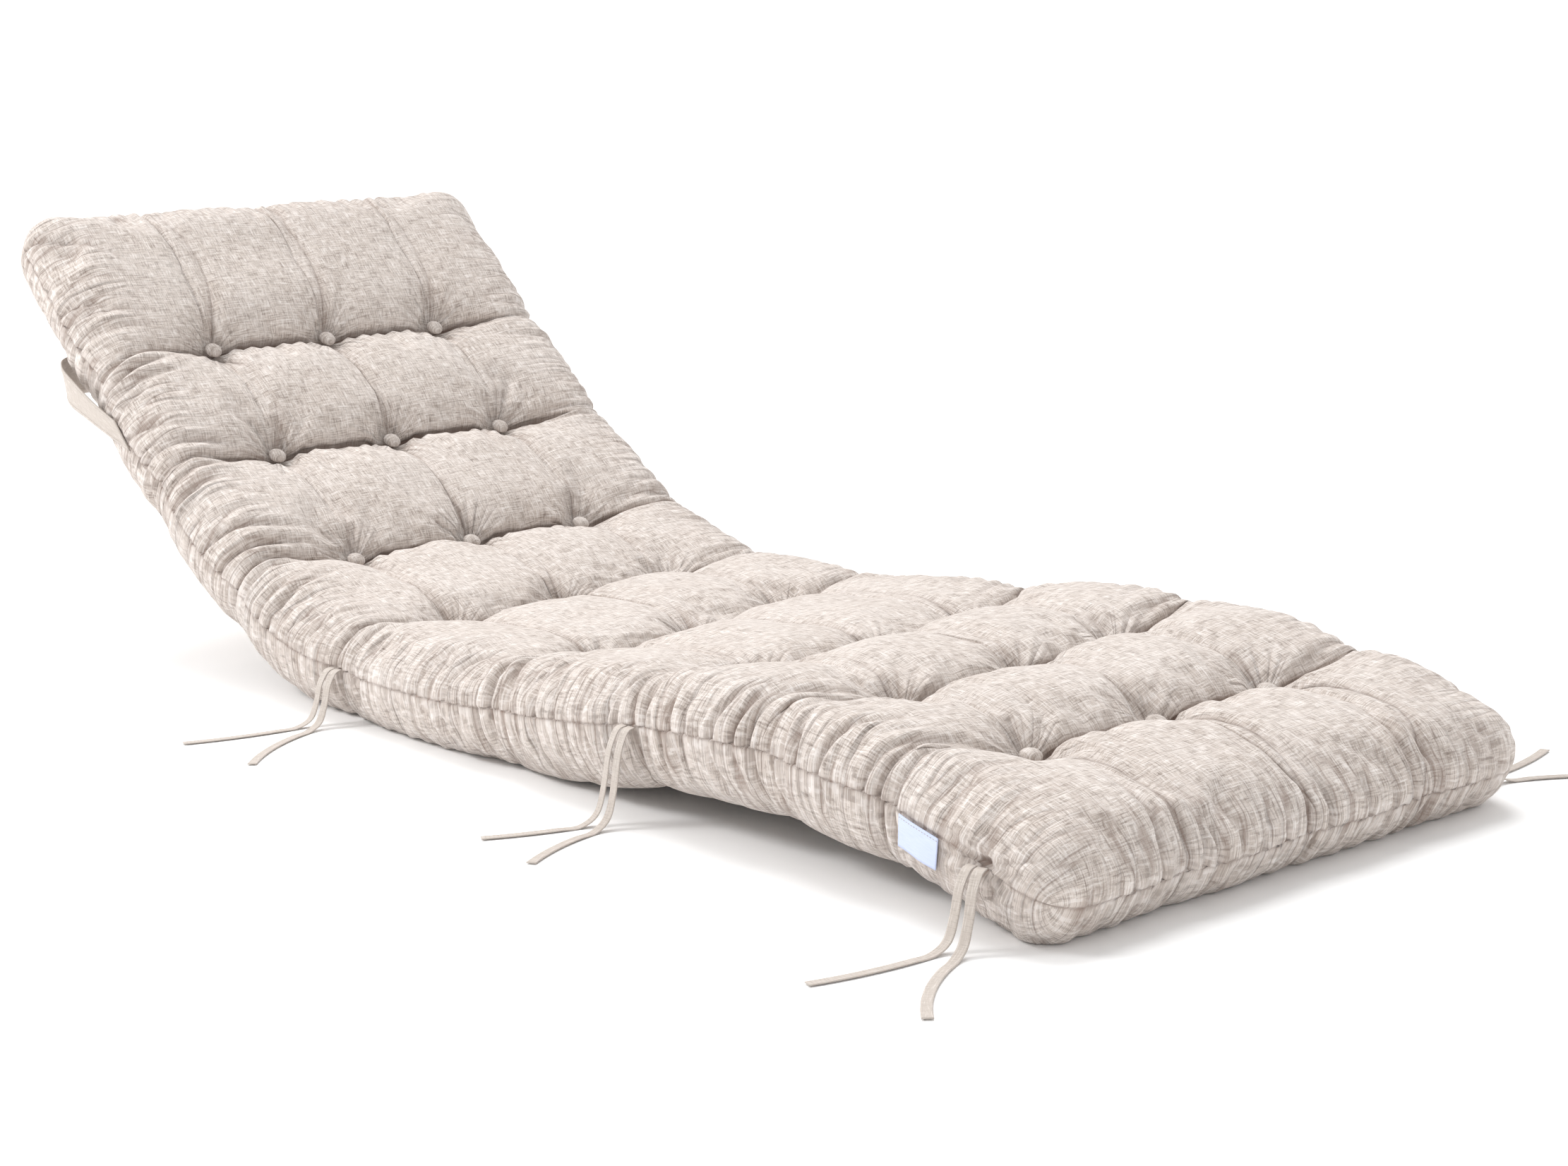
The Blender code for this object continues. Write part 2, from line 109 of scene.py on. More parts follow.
@dataclass(frozen=True)
class CushionForm:
    """The shape of the filled pad, worked out anywhere on it."""

    length: float = 1.78
    width: float = 0.60
    crest_face: float = 0.038
    crest_back: float = 0.060
    roll: float = 0.045
    tuft: float = 0.010
    face_saddle: Saddle = Saddle(0.18, 0.68)
    back_saddle: Saddle = Saddle(0.80, 0.92)
    end_arch: float = 0.11
    arch_round: float = 2.3
    arch_rise: float = 0.6
    pit_radius: float = 0.008
    pit_edge: float = 0.052
    fade: float = 0.70
    fade_start: float = 0.115
    fade_end: float = 0.035
    drawn_side: float = 0.008
    drawn_end: float = 0.004
    drawn_spread: float = 0.032
    end_reach: float = 0.15
    columns: tuple[float, ...] = (-0.15, 0.0, 0.15)
    shift: tuple[float, float, float] = (-0.81058, 0.0, 0.46118)
    spine_steps: int = 356
    slopes: tuple[Slope, ...] = (
        Slope(0.000, 42.0),
        Slope(0.225, 42.0),
        Slope(0.395, 37.0),
        Slope(0.580, 27.0),
        Slope(0.770, 3.0),
        Slope(1.000, -4.0),
        Slope(1.265, -8.0),
        Slope(1.450, 1.5),
        Slope(1.605, 8.5),
        Slope(1.780, 23.0),
    )
    rows: tuple[TuftRow, ...] = (
        TuftRow(0.235, 0.225, 0.225, 0.225, 0.235),
        TuftRow(0.405, 0.395, 0.395, 0.395, 0.405),
        TuftRow(0.580, 0.580, 0.580, 0.580, 0.590),
        TuftRow(0.785, 0.785, 0.765, 0.755, 0.760),
        TuftRow(1.060, 1.030, 0.995, 0.950, 0.945),
        TuftRow(1.265, 1.275, 1.270, 1.240, 1.185),
        TuftRow(1.440, 1.455, 1.450, 1.425, 1.410),
        TuftRow(1.585, 1.605, 1.605, 1.600, 1.605),
    )

    def spine(self) -> tuple[np.ndarray, np.ndarray, np.ndarray, np.ndarray]:
        """Works out the curve of the middle surface.

        Returns:
            Distances along it, with the X, Z and slope there.
        """
        along = np.linspace(0.0, self.length, self.spine_steps + 1)
        bends = [s.along for s in self.slopes]
        slope = np.radians(np.interp(along, bends, [s.degrees for s in self.slopes]))
        middle = (slope[1:] + slope[:-1]) / 2
        step = self.length / self.spine_steps
        x = np.concatenate(([0.0], np.cumsum(step * np.cos(middle))))
        z = np.concatenate(([0.0], np.cumsum(-step * np.sin(middle))))
        return along, x, z, slope

    def row_lines(self, across: np.ndarray) -> np.ndarray:
        """Returns where each crease crosses the given distances from the middle line."""
        stations = (-self.width / 2, *self.columns, self.width / 2)
        return np.array([np.interp(across, stations, row.stations()) for row in self.rows])

    def tufts(self) -> list[tuple[float, float]]:
        """Lists the tufts, row by row from the head.

        Returns:
            The distance along and across of each.
        """
        return [
            (station, column)
            for row in self.rows
            for station, column in zip(row.stations()[1:4], self.columns)
        ]

    def arch(self, share: np.ndarray) -> np.ndarray:
        """Returns the rise of the padding at a share of the way from a crease to the crest."""
        share = np.clip(share, 0.0, 1.0)
        return (1 - (1 - share) ** self.arch_round) ** self.arch_rise

    def crest(self, panel: Panel) -> float:
        """Returns how high the panel's crests stand over the middle surface."""
        return self.crest_face if panel is Panel.FACE else self.crest_back

    def towards_end(self, along: np.ndarray) -> np.ndarray:
        """Returns -1 in the head's half and 1 in the foot's half."""
        return np.where(along < self.length / 2, -1.0, 1.0)

    def fullness(self, along: np.ndarray, across: np.ndarray, saddle: Saddle) -> np.ndarray:
        """Works out how full the padding is.

        Args:
            along: Distances along the cushion.
            across: Distances from the middle line.
            saddle: How full the panel stays between its tufts.

        Returns:
            Fullness from 0 in a tuft's pit to 1 on a crest.
        """
        behind = np.full_like(along, -np.inf)
        ahead = np.full_like(along, np.inf)
        for line in self.row_lines(across):
            behind = np.where(line <= along + 1e-9, np.maximum(behind, line), behind)
            ahead = np.where(line >= along - 1e-9, np.minimum(ahead, line), ahead)
        from_crease = np.minimum(along - behind, ahead - along)
        half_cell = np.where(np.isfinite(ahead - behind), (ahead - behind) / 2, self.end_arch)
        lengthwise = self.arch(np.abs(from_crease) / np.maximum(half_cell, 1e-6))
        spacing = self.columns[1] - self.columns[0]
        from_column = np.min([np.abs(across - column) for column in self.columns], axis=0)
        crosswise = self.arch(from_column / (spacing / 2))
        full = saddle.row * crosswise + saddle.column * lengthwise
        full = full + (1 - saddle.row - saddle.column) * crosswise * lengthwise
        full = full + (1 - full) * self.fade * self.fading(along, across)
        for station, column in self.tufts():
            away = np.hypot(along - station, across - column)
            share = np.clip((away - self.pit_radius) / (self.pit_edge - self.pit_radius), 0, 1)
            full = full * (1 - (1 - share) ** 2)
        return full

    def inset(self, along: np.ndarray, across: np.ndarray) -> np.ndarray:
        """Returns the distance from each place to the seam."""
        to_end = np.minimum(along, self.length - along)
        return np.minimum(to_end, self.width / 2 - np.abs(across))

    def fading(self, along: np.ndarray, across: np.ndarray) -> np.ndarray:
        """Returns how far the creases have faded towards the seam, 0 to 1."""
        return 1 - smooth(self.inset(along, across), self.fade_end, self.fade_start)

    def rounded(
        self, along: np.ndarray, across: np.ndarray
    ) -> tuple[np.ndarray, np.ndarray, np.ndarray]:
        """Moves places so that the outline's corners are round.

        Args:
            along: Distances along the cushion.
            across: Distances from the middle line.

        Returns:
            The new distances along and across, and the share of the roll there.
        """
        end = np.clip(1 - np.minimum(along, self.length - along) / self.roll, 0, 1)
        side = np.clip(1 - (self.width / 2 - np.abs(across)) / self.roll, 0, 1)
        new_end = end * np.sqrt(1 - side**2 / 2)
        new_side = side * np.sqrt(1 - end**2 / 2)
        along = along + self.towards_end(along) * self.roll * (new_end - end)
        across = across + np.sign(across) * self.roll * (new_side - side)
        return along, across, np.minimum(np.hypot(new_end, new_side), 1.0)

    def drawn_in(self, along: np.ndarray, across: np.ndarray) -> tuple[np.ndarray, np.ndarray]:
        """Pulls places inwards where the creases reach the seam.

        Args:
            along: Distances along the cushion.
            across: Distances from the middle line.

        Returns:
            The new distances along and across.
        """
        pull = np.zeros_like(along)
        for line in self.row_lines(across):
            pull += np.exp(-(((along - line) / self.drawn_spread) ** 2))
        side = (np.abs(across) / (self.width / 2)) ** 4
        new_across = across - np.sign(across) * self.drawn_side * pull * side
        pull = np.zeros_like(along)
        for column in self.columns:
            pull += np.exp(-(((across - column) / self.drawn_spread) ** 2))
        end = np.clip(1 - np.minimum(along, self.length - along) / self.end_reach, 0, 1) ** 2
        return along - self.towards_end(along) * self.drawn_end * pull * end, new_across

    def placed(self, along: np.ndarray, across: np.ndarray, height: np.ndarray) -> np.ndarray:
        """Finds places on the cushion.

        Args:
            along: Distances along the cushion.
            across: Distances from the middle line.
            height: Heights square to the middle surface.

        Returns:
            Their X, Y and Z.
        """
        distances, x, z, slope = self.spine()
        here = np.interp(along, distances, slope)
        x = np.interp(along, distances, x) + height * np.sin(here)
        z = np.interp(along, distances, z) + height * np.cos(here)
        return np.stack(np.broadcast_arrays(x, across, z), axis=-1) + np.array(self.shift)

    def surface(self, along: np.ndarray, across: np.ndarray, panel: Panel) -> np.ndarray:
        """Works out one panel before its small folds.

        Args:
            along: Distances along the cushion.
            across: Distances from the middle line.
            panel: The panel.

        Returns:
            Its points.
        """
        saddle = self.face_saddle if panel is Panel.FACE else self.back_saddle
        height = self.tuft + (self.crest(panel) - self.tuft) * self.fullness(along, across, saddle)
        along, across, share = self.rounded(along, across)
        height = height * np.sqrt(1 - share**2)
        along, across = self.drawn_in(along, across)
        return self.placed(along, across, panel.value * height)

    def seam_point(self, along: float, side: Side) -> np.ndarray:
        """Finds a point of a side seam.

        Args:
            along: Its distance along.
            side: The long side.

        Returns:
            Its X, Y and Z.
        """
        across = np.array([side.value * self.width / 2])
        stations, across, _ = self.rounded(np.array([along]), across)
        stations, across = self.drawn_in(stations, across)
        return self.placed(stations, across, np.zeros(1))[0]

    def directions(self, along: float) -> tuple[np.ndarray, np.ndarray]:
        """Works out the cushion's own directions at one place.

        Args:
            along: Its distance along.

        Returns:
            The unit vectors down the slope and square to it.
        """
        distances, _, _, slopes = self.spine()
        slope = float(np.interp(along, distances, slopes))
        down = np.array([math.cos(slope), 0.0, -math.sin(slope)])
        out = np.array([math.sin(slope), 0.0, math.cos(slope)])
        return down, out


def smooth(value: np.ndarray, low: float, high: float) -> np.ndarray:
    """Returns 0 below low, 1 above high and a smooth rise between them."""
    t = np.clip((value - low) / (high - low), 0.0, 1.0)
    return t * t * (3 - 2 * t)


def between(
    before: np.ndarray, start: np.ndarray, end: np.ndarray, after: np.ndarray, share: np.ndarray | float
) -> np.ndarray:
    """Blends four neighbours into a smooth curve between the middle two.

    Args:
        before: The value before the start.
        start: The value at share 0.
        end: The value at share 1.
        after: The value past the end.
        share: The share of the way from start to end.

    Returns:
        The value at that share.
    """
    return (
        start
        + 0.5 * share * (end - before)
        + 0.5 * share**2 * (2 * before - 5 * start + 4 * end - after)
        + 0.5 * share**3 * (3 * start - before - 3 * end + after)
    )


def unit(vectors: np.ndarray) -> np.ndarray:
    """Returns vectors at length 1."""
    return vectors / np.linalg.norm(vectors, axis=-1, keepdims=True)


def smooth_route(points: list[tuple[float, ...]] | np.ndarray, count: int) -> np.ndarray:
    """Draws the smooth curve through a route's own points.

    Args:
        points: The route's own points.
        count: How many points to return.

    Returns:
        Evenly spaced points of the curve.
    """
    points = np.array(points, float)
    padded = np.concatenate([[2 * points[0] - points[1]], points, [2 * points[-1] - points[-2]]])
    fine = []
    for k in range(len(points) - 1):
        before, start, end, after = padded[k : k + 4]
        shares = np.linspace(0, 1, ROUTE_STEPS, endpoint=False)
        fine += [between(before, start, end, after, share) for share in shares]
    return resampled(np.array(fine + [points[-1]]), count)


def resampled(route: np.ndarray, count: int, length: float | None = None) -> np.ndarray:
    """Spaces the points of a route evenly.

    Args:
        route: The points of a fine route.
        count: How many points to return.
        length: How far to go along the route, or None for all of it.

    Returns:
        The evenly spaced points.
    """
    run = np.concatenate(([0.0], np.cumsum(np.linalg.norm(np.diff(route, axis=0), axis=1))))
    wanted = np.linspace(0, run[-1] if length is None else length, count)
    return np.stack([np.interp(wanted, run, route[:, axis]) for axis in range(3)], axis=1)


class Value:
    """A shader socket that adds, subtracts, multiplies and divides as a number does."""

    def __init__(self, shader: Shader, socket: bpy.types.NodeSocket) -> None:
        """Keeps the socket and the shader that it belongs to."""
        self.shader = shader
        self.socket = socket

    def math(self, operation: str, *others: Value | float) -> Value:
        """Returns the result of a Math node on this value and the others."""
        inputs = dict(enumerate((self, *others)))
        return self.shader.node("ShaderNodeMath", {"operation": operation}, inputs)

    def __add__(self, other: Value | float) -> Value:
        """Returns self + other."""
        return self.math("ADD", other)

    def __radd__(self, other: float) -> Value:
        """Returns other + self."""
        return self.math("ADD", other)

    def __sub__(self, other: Value | float) -> Value:
        """Returns self - other."""
        return self.math("SUBTRACT", other)

    def __rsub__(self, other: float) -> Value:
        """Returns other - self."""
        return (self * -1.0) + other

    def __mul__(self, other: Value | float) -> Value:
        """Returns self * other."""
        return self.math("MULTIPLY", other)

    def __rmul__(self, other: float) -> Value:
        """Returns other * self."""
        return self.math("MULTIPLY", other)

    def ramp(self, low: float, high: float) -> Value:
        """Rises smoothly from 0 to 1.

        Args:
            low: Where it is still 0.
            high: Where it is 1.

        Returns:
            The ramped value.
        """
        settings = {"interpolation_type": "SMOOTHSTEP"}
        inputs = {"Value": self, "From Min": low, "From Max": high}
        return self.shader.node("ShaderNodeMapRange", settings, inputs)


Colour = tuple[float, float, float]


class Shader:
    """A material under construction, with one method that makes any node."""

    def __init__(self, name: str, roughness: float, sheen: float = 0.0) -> None:
        """Starts a material with a Principled shader.

        Args:
            name: The material's name.
            roughness: The roughness all over, until something varies it.
            sheen: The weight of the cloth's soft sheen.
        """
        self.material = bpy.data.materials.new(name)
        self.material.use_nodes = True
        self.tree = self.material.node_tree
        self.principled = self.tree.nodes["Principled BSDF"]
        self.principled.inputs["Roughness"].default_value = roughness
        self.principled.inputs["Sheen Weight"].default_value = sheen
        self.principled.inputs["Sheen Roughness"].default_value = 0.6
        self.principled.inputs["Specular IOR Level"].default_value = 0.25

    def node(
        self,
        kind: str,
        settings: dict[str, object],
        inputs: dict[object, object],
        output: int | str = 0,
    ) -> Value:
        """Makes a node, sets it and feeds it.

        Args:
            kind: The node's type.
            settings: Its own settings, set before its sockets.
            inputs: Values or links, by socket name or number.
            output: The socket to return.

        Returns:
            The chosen output as a value.
        """
        made = self.tree.nodes.new(kind)
        for name, setting in settings.items():
            setattr(made, name, setting)
        for name, given in inputs.items():
            socket = made.inputs[name]
            if isinstance(given, Value):
                self.tree.links.new(given.socket, socket)
            else:
                socket.default_value = given
        return Value(self, made.outputs[output])

    def cloth_map(self) -> Value:
        """Returns the place on the cloth, in metres, from the piece's own map."""
        return self.node("ShaderNodeUVMap", {"uv_map": "cloth"}, {})

    def attribute(self, name: str, output: str = "Fac") -> Value:
        """Returns a number or a vector that the mesh carries at each point."""
        return self.node("ShaderNodeAttribute", {"attribute_name": name}, {}, output)

    def vector(self, operation: str, *given: Value | tuple[float, ...], output: int = 0) -> Value:
        """Returns the result of a Vector Math node."""
        inputs = dict(enumerate(given))
        return self.node("ShaderNodeVectorMath", {"operation": operation}, inputs, output)

    def ridged(self, place: Value, scale: tuple[float, float, float], detail: float = 1.5) -> Value:
        """Returns noise folded at its middle: 0 along sharp lines and about 0.3 between them."""
        return (self.noise(self.stretched(place, scale), detail, 0.45) - 0.5).math("ABSOLUTE")

    def stretched(self, place: Value, scale: tuple[float, float, float]) -> Value:
        """Returns a place multiplied by a scale along each axis."""
        return self.vector("MULTIPLY", place, scale)

    def noise(self, place: Value, detail: float = 2.0, roughness: float = 0.5) -> Value:
        """Returns smooth noise of unit size at a place."""
        inputs = {"Vector": place, "Scale": 1.0, "Detail": detail, "Roughness": roughness}
        return self.node("ShaderNodeTexNoise", {"noise_dimensions": "3D"}, inputs, "Fac")

    def mixed(self, factor: Value | float, first: object, second: object) -> Value:
        """Mixes one colour into another.

        Args:
            factor: How much of the second colour shows.
            first: The first colour or value.
            second: The second colour or value.

        Returns:
            The mixed colour.
        """
        made = self.tree.nodes.new("ShaderNodeMix")
        made.data_type = "RGBA"
        for number, given in ((0, factor), (6, first), (7, second)):
            socket = made.inputs[number]
            if isinstance(given, Value):
                self.tree.links.new(given.socket, socket)
            else:
                socket.default_value = (*given, 1.0) if isinstance(given, tuple) else given
        return Value(self, made.outputs[2])

    def parts(self, vector: Value) -> list[Value]:
        """Returns the three numbers of a vector."""
        split = self.node("ShaderNodeSeparateXYZ", {}, {0: vector}).socket.node
        return [Value(self, socket) for socket in split.outputs]

    def feed(self, name: str, value: Value) -> None:
        """Links a value to the Principled shader."""
        self.tree.links.new(value.socket, self.principled.inputs[name])

    def bumped(self, height: Value, strength: float, distance: float) -> None:
        """Feeds a height in metres to the shader's normal."""
        inputs = {"Height": height, "Strength": strength, "Distance": distance}
        self.feed("Normal", self.node("ShaderNodeBump", {}, inputs))


@dataclass(frozen=True)
class LinenFinish:
    """Heathered linen: pale yarn crossed by darker and lighter slubs both ways, on a plain weave, with
    painted shade in its folds, creases and seam.
    """

    name: str = "linen"
    base: Colour = (0.550, 0.480, 0.432)
    dark_yarn: Colour = (0.170, 0.128, 0.104)
    pale_yarn: Colour = (0.900, 0.860, 0.835)
    # The colour of the painted shade in the folds, creases and seam.
    fold_shade: Colour = (0.230, 0.165, 0.135)
    slub_length: float = 0.016
    yarn_width: float = 0.0012
    weave_pitch: float = 0.0016
    roughness: float = 0.88
    wrinkle_width: float = 0.016
    wrinkle_length: float = 0.110
    wrinkle_depth: float = 0.016
    line_width: float = 0.0013
    line_depth: float = 0.0022
    line_shade_share: float = 1.6
    column_share: float = 0.8
    star_spokes: float = 3.2
    star_depth: float = 0.022
    star_shade_share: float = 0.8
    valley_edge: float = 0.035
    star_edge: float = 0.030
    thick_yarn: float = 2.3
    warp_length: float = 1.2
    thin_dark: float = 0.80
    thick_dark: float = 0.20
    thin_pale: float = 0.60
    thick_pale: float = 0.18
    cloud_scale: float = 95.0
    broad_scale: float = 14.0
    broad_share: float = 0.10
    # How strongly the painted shade follows the crease attribute and the valleys.
    crease_shade_share: float = 0.36
    valley_shade_share: float = 0.48
    yarn_relief: float = 0.0008

    def strokes(self, shader: Shader, cloth: Value, size: float) -> tuple[Value, Value]:
        """Draws the slubs of the yarn.

        Args:
            shader: The material under construction.
            cloth: The place on the cloth.
            size: A multiple of the yarn's own size.

        Returns:
            The slubs across and along the cloth.
        """
        long, thin = 1 / (self.slub_length * size), 1 / (self.yarn_width * size)
        weft = shader.noise(shader.stretched(cloth, (long, thin, 1.0)), 2.0, 0.6)
        warp = shader.noise(shader.stretched(cloth, (thin, long * self.warp_length, 1.0)), 2.0, 0.6)
        return weft, warp

    def wrinkles(self, shader: Shader, cloth: Value) -> tuple[Value, Value]:
        """Draws the fine wrinkles.

        Args:
            shader: The material under construction.
            cloth: The place on the cloth.

        Returns:
            Their height in metres, and how much painted shade each place gets at the bottoms of the
            wrinkles, star folds and crease lines.
        """
        across, along = 1 / self.wrinkle_width, 1 / self.wrinkle_length
        side = shader.ridged(cloth, (along, across, 1.0))
        end = shader.ridged(cloth, (across, along, 1.0))
        side_hold, end_hold = shader.attribute("side_hold"), shader.attribute("end_hold")
        tuft = shader.attribute("tuft", "Vector")
        flat = shader.vector("MULTIPLY", tuft, (1.0, 1.0, 0.0))
        away = shader.vector("LENGTH", flat, output=1)
        heading = shader.vector("NORMALIZE", flat)
        spokes = shader.stretched(heading, (self.star_spokes,) * 3)
        seeded = shader.vector("ADD", spokes, shader.vector("MULTIPLY", tuft, (4.0, 4.0, 1.0)))
        star = shader.ridged(seeded, (1.0, 1.0, 1.0))
        star_hold = shader.attribute("star_hold")
        height = side * side_hold * self.wrinkle_depth + end * end_hold * self.wrinkle_depth
        height = height + star * star_hold * self.star_depth * (away * 12.0 + 0.25)
        valley = side.ramp(self.valley_edge, 0.0) * side_hold
        valley = valley + end.ramp(self.valley_edge, 0.0) * end_hold
        line = self.lines(shader)
        height = height - line * self.line_depth
        valley = valley + star.ramp(self.star_edge, 0.0) * star_hold * self.star_shade_share
        return height, valley + line * self.line_shade_share

    def lines(self, shader: Shader) -> Value:
        """Finds the sharp bottoms of the creases.

        Args:
            shader: The material under construction.

        Returns:
            How near each place is to one, 0 to 1.
        """
        gap = shader.attribute("row_gap").math("ABSOLUTE")
        line = (gap * (-1 / self.line_width)).math("EXPONENT") * shader.attribute("row_hold")
        offsets = shader.parts(shader.attribute("column_gap", "Vector"))
        holds = shader.parts(shader.attribute("column_hold", "Vector"))
        for offset, hold in zip(offsets, holds):
            near = (offset.math("ABSOLUTE") * (-1 / self.line_width)).math("EXPONENT")
            line = line + near * hold * self.column_share
        return line

    def build(self) -> bpy.types.Material:
        """Makes the linen's material.

        Returns:
            The material.
        """
        shader = Shader(self.name, self.roughness, sheen=0.15)
        cloth = shader.cloth_map()
        wrinkle, valley = self.wrinkles(shader, cloth)
        weft, warp = self.strokes(shader, cloth, 1.0)
        thick_weft, thick_warp = self.strokes(shader, cloth, self.thick_yarn)
        clouds = shader.stretched(cloth, (self.cloud_scale, self.cloud_scale, 1.0))
        cloud = shader.noise(clouds, 3.0, 0.65)
        broad = shader.noise(shader.stretched(cloth, (self.broad_scale, self.broad_scale, 1.0)), 3.0)
        dark = weft.ramp(0.49, 0.37).math("MAXIMUM", warp.ramp(0.49, 0.37)) * self.thin_dark
        pale = weft.ramp(0.52, 0.64).math("MAXIMUM", warp.ramp(0.52, 0.64)) * self.thin_pale
        for thick in (thick_weft, thick_warp):
            dark = dark + thick.ramp(0.46, 0.34) * self.thick_dark
            pale = pale + thick.ramp(0.53, 0.66) * self.thick_pale
        colour = shader.mixed(dark * (cloud.ramp(0.75, 0.25) * 0.7 + 0.2), self.base, self.dark_yarn)
        colour = shader.mixed(pale * (cloud.ramp(0.25, 0.75) * 0.7 + 0.2), colour, self.pale_yarn)
        colour = shader.mixed(broad.ramp(0.35, 0.70) * self.broad_share, colour, self.pale_yarn)
        # Painted shade: the fold-shade colour is mixed into the linen where the crease attribute and the
        # wrinkle and crease-line valleys mark folds, creases and the seam.
        shade = shader.attribute("crease") * self.crease_shade_share + valley * self.valley_shade_share
        shader.feed("Base Color", shader.mixed(shade, colour, self.fold_shade))
        shader.feed("Roughness", 0.82 + dark * 0.10)
        turn = math.tau / self.weave_pitch
        over, under = ((part * turn).math("SINE") for part in shader.parts(cloth)[:2])
        height = over * under * 0.08 + weft * 0.45 + warp * 0.45 + thick_weft * 0.4 + thick_warp * 0.4
        shader.bumped(height * self.yarn_relief + wrinkle, 1.0, 1.0)
        return shader.material


@dataclass(frozen=True)
class TapeFinish:
    """Folded linen tape or strap: the same yarn, a little darker, ribbed along its length."""

    name: str = "tape"
    base: Colour = (0.50, 0.445, 0.40)
    dark_yarn: Colour = (0.33, 0.285, 0.25)
    pale_yarn: Colour = (0.70, 0.65, 0.61)
    roughness: float = 0.86

    def build(self) -> bpy.types.Material:
        """Makes the tape's material.

        Returns:
            The material.
        """
        shader = Shader(self.name, self.roughness, sheen=0.12)
        cloth = shader.cloth_map()
        weft = shader.noise(shader.stretched(cloth, (80.0, 900.0, 1.0)), 3.0, 0.6)
        warp = shader.noise(shader.stretched(cloth, (900.0, 70.0, 1.0)), 3.0, 0.6)
        colour = shader.mixed(weft.ramp(0.52, 0.35) * 0.5, self.base, self.dark_yarn)
        colour = shader.mixed(warp.ramp(0.50, 0.68) * 0.5, colour, self.pale_yarn)
        shader.feed("Base Color", colour)
        shader.feed("Roughness", 0.80 + weft * 0.12)
        shader.bumped(weft * 0.5 + warp * 0.5, 0.4, 0.001)
        return shader.material


@dataclass(frozen=True)
class LabelFinish:
    """Smooth pale satin ribbon with fine ribs across it."""

    name: str = "label_ribbon"
    base: Colour = (0.52, 0.59, 0.82)
    pale: Colour = (0.64, 0.70, 0.90)
    roughness: float = 0.55

    def build(self) -> bpy.types.Material:
        """Makes the ribbon's material.

        Returns:
            The material.
        """
        shader = Shader(self.name, self.roughness, sheen=0.1)
        cloth = shader.cloth_map()
        ribs = shader.noise(shader.stretched(cloth, (2200.0, 90.0, 1.0)), 2.0, 0.5)
        soft = shader.noise(shader.stretched(cloth, (60.0, 60.0, 1.0)), 2.0)
        colour = shader.mixed(ribs.ramp(0.3, 0.7) * 0.5 + soft * 0.3, self.base, self.pale)
        shader.feed("Base Color", colour)
        shader.feed("Roughness", 0.45 + ribs * 0.2)
        shader.bumped(ribs, 0.3, 0.0005)
        return shader.material


@dataclass(frozen=True)
class ThreadFinish:
    """Twisted sewing thread, a shade darker than the linen."""

    name: str = "thread"
    base: Colour = (0.42, 0.37, 0.33)
    pale: Colour = (0.60, 0.55, 0.50)

    def build(self) -> bpy.types.Material:
        """Makes the thread's material.

        Returns:
            The material.
        """
        shader = Shader(self.name, 0.7, sheen=0.1)
        place = shader.node("ShaderNodeTexCoord", {}, {}, "Object")
        twist = shader.noise(shader.stretched(place, (1500.0, 1500.0, 1500.0)), 2.0)
        shader.feed("Base Color", shader.mixed(twist.ramp(0.35, 0.65), self.base, self.pale))
        shader.feed("Roughness", 0.6 + twist * 0.2)
        return shader.material


@dataclass(frozen=True)
class FloorFinish:
    """A plain pale studio floor."""

    name: str = "studio_floor"
    base: Colour = (0.98, 0.98, 0.98)

    def build(self) -> bpy.types.Material:
        """Makes the floor's material.

        Returns:
            The material.
        """
        shader = Shader(self.name, 0.9)
        place = shader.node("ShaderNodeTexCoord", {}, {}, "Object")
        grain = shader.noise(shader.stretched(place, (0.6, 0.6, 0.6)), 2.0)
        shader.feed("Base Color", shader.mixed(grain * 0.1, self.base, (0.97, 0.97, 0.97)))
        return shader.material


def dressed(
    name: str, mesh: bpy.types.Mesh, finish: bpy.types.Material
) -> bpy.types.Object:
    """Links a finished mesh to the scene as a piece.

    Args:
        name: The piece's name.
        mesh: Its mesh, in the row frame.
        finish: Its material.

    Returns:
        The piece, riding on the body.
    """
    mesh.materials.clear()
    mesh.materials.append(finish)
    mesh.shade_smooth()
    made = bpy.data.objects.new(name, mesh)
    bpy.context.scene.collection.objects.link(made)
    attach(made, BODY)
    return made


def settled(made: bpy.types.Object) -> bpy.types.Mesh:
    """Applies a scratch object's modifiers and removes the object.

    Args:
        made: The scratch object.

    Returns:
        Its evaluated mesh.
    """
    bpy.context.view_layer.update()
    graph = bpy.context.evaluated_depsgraph_get()
    mesh = bpy.data.meshes.new_from_object(made.evaluated_get(graph))
    bpy.data.objects.remove(made, do_unlink=True)
    return mesh


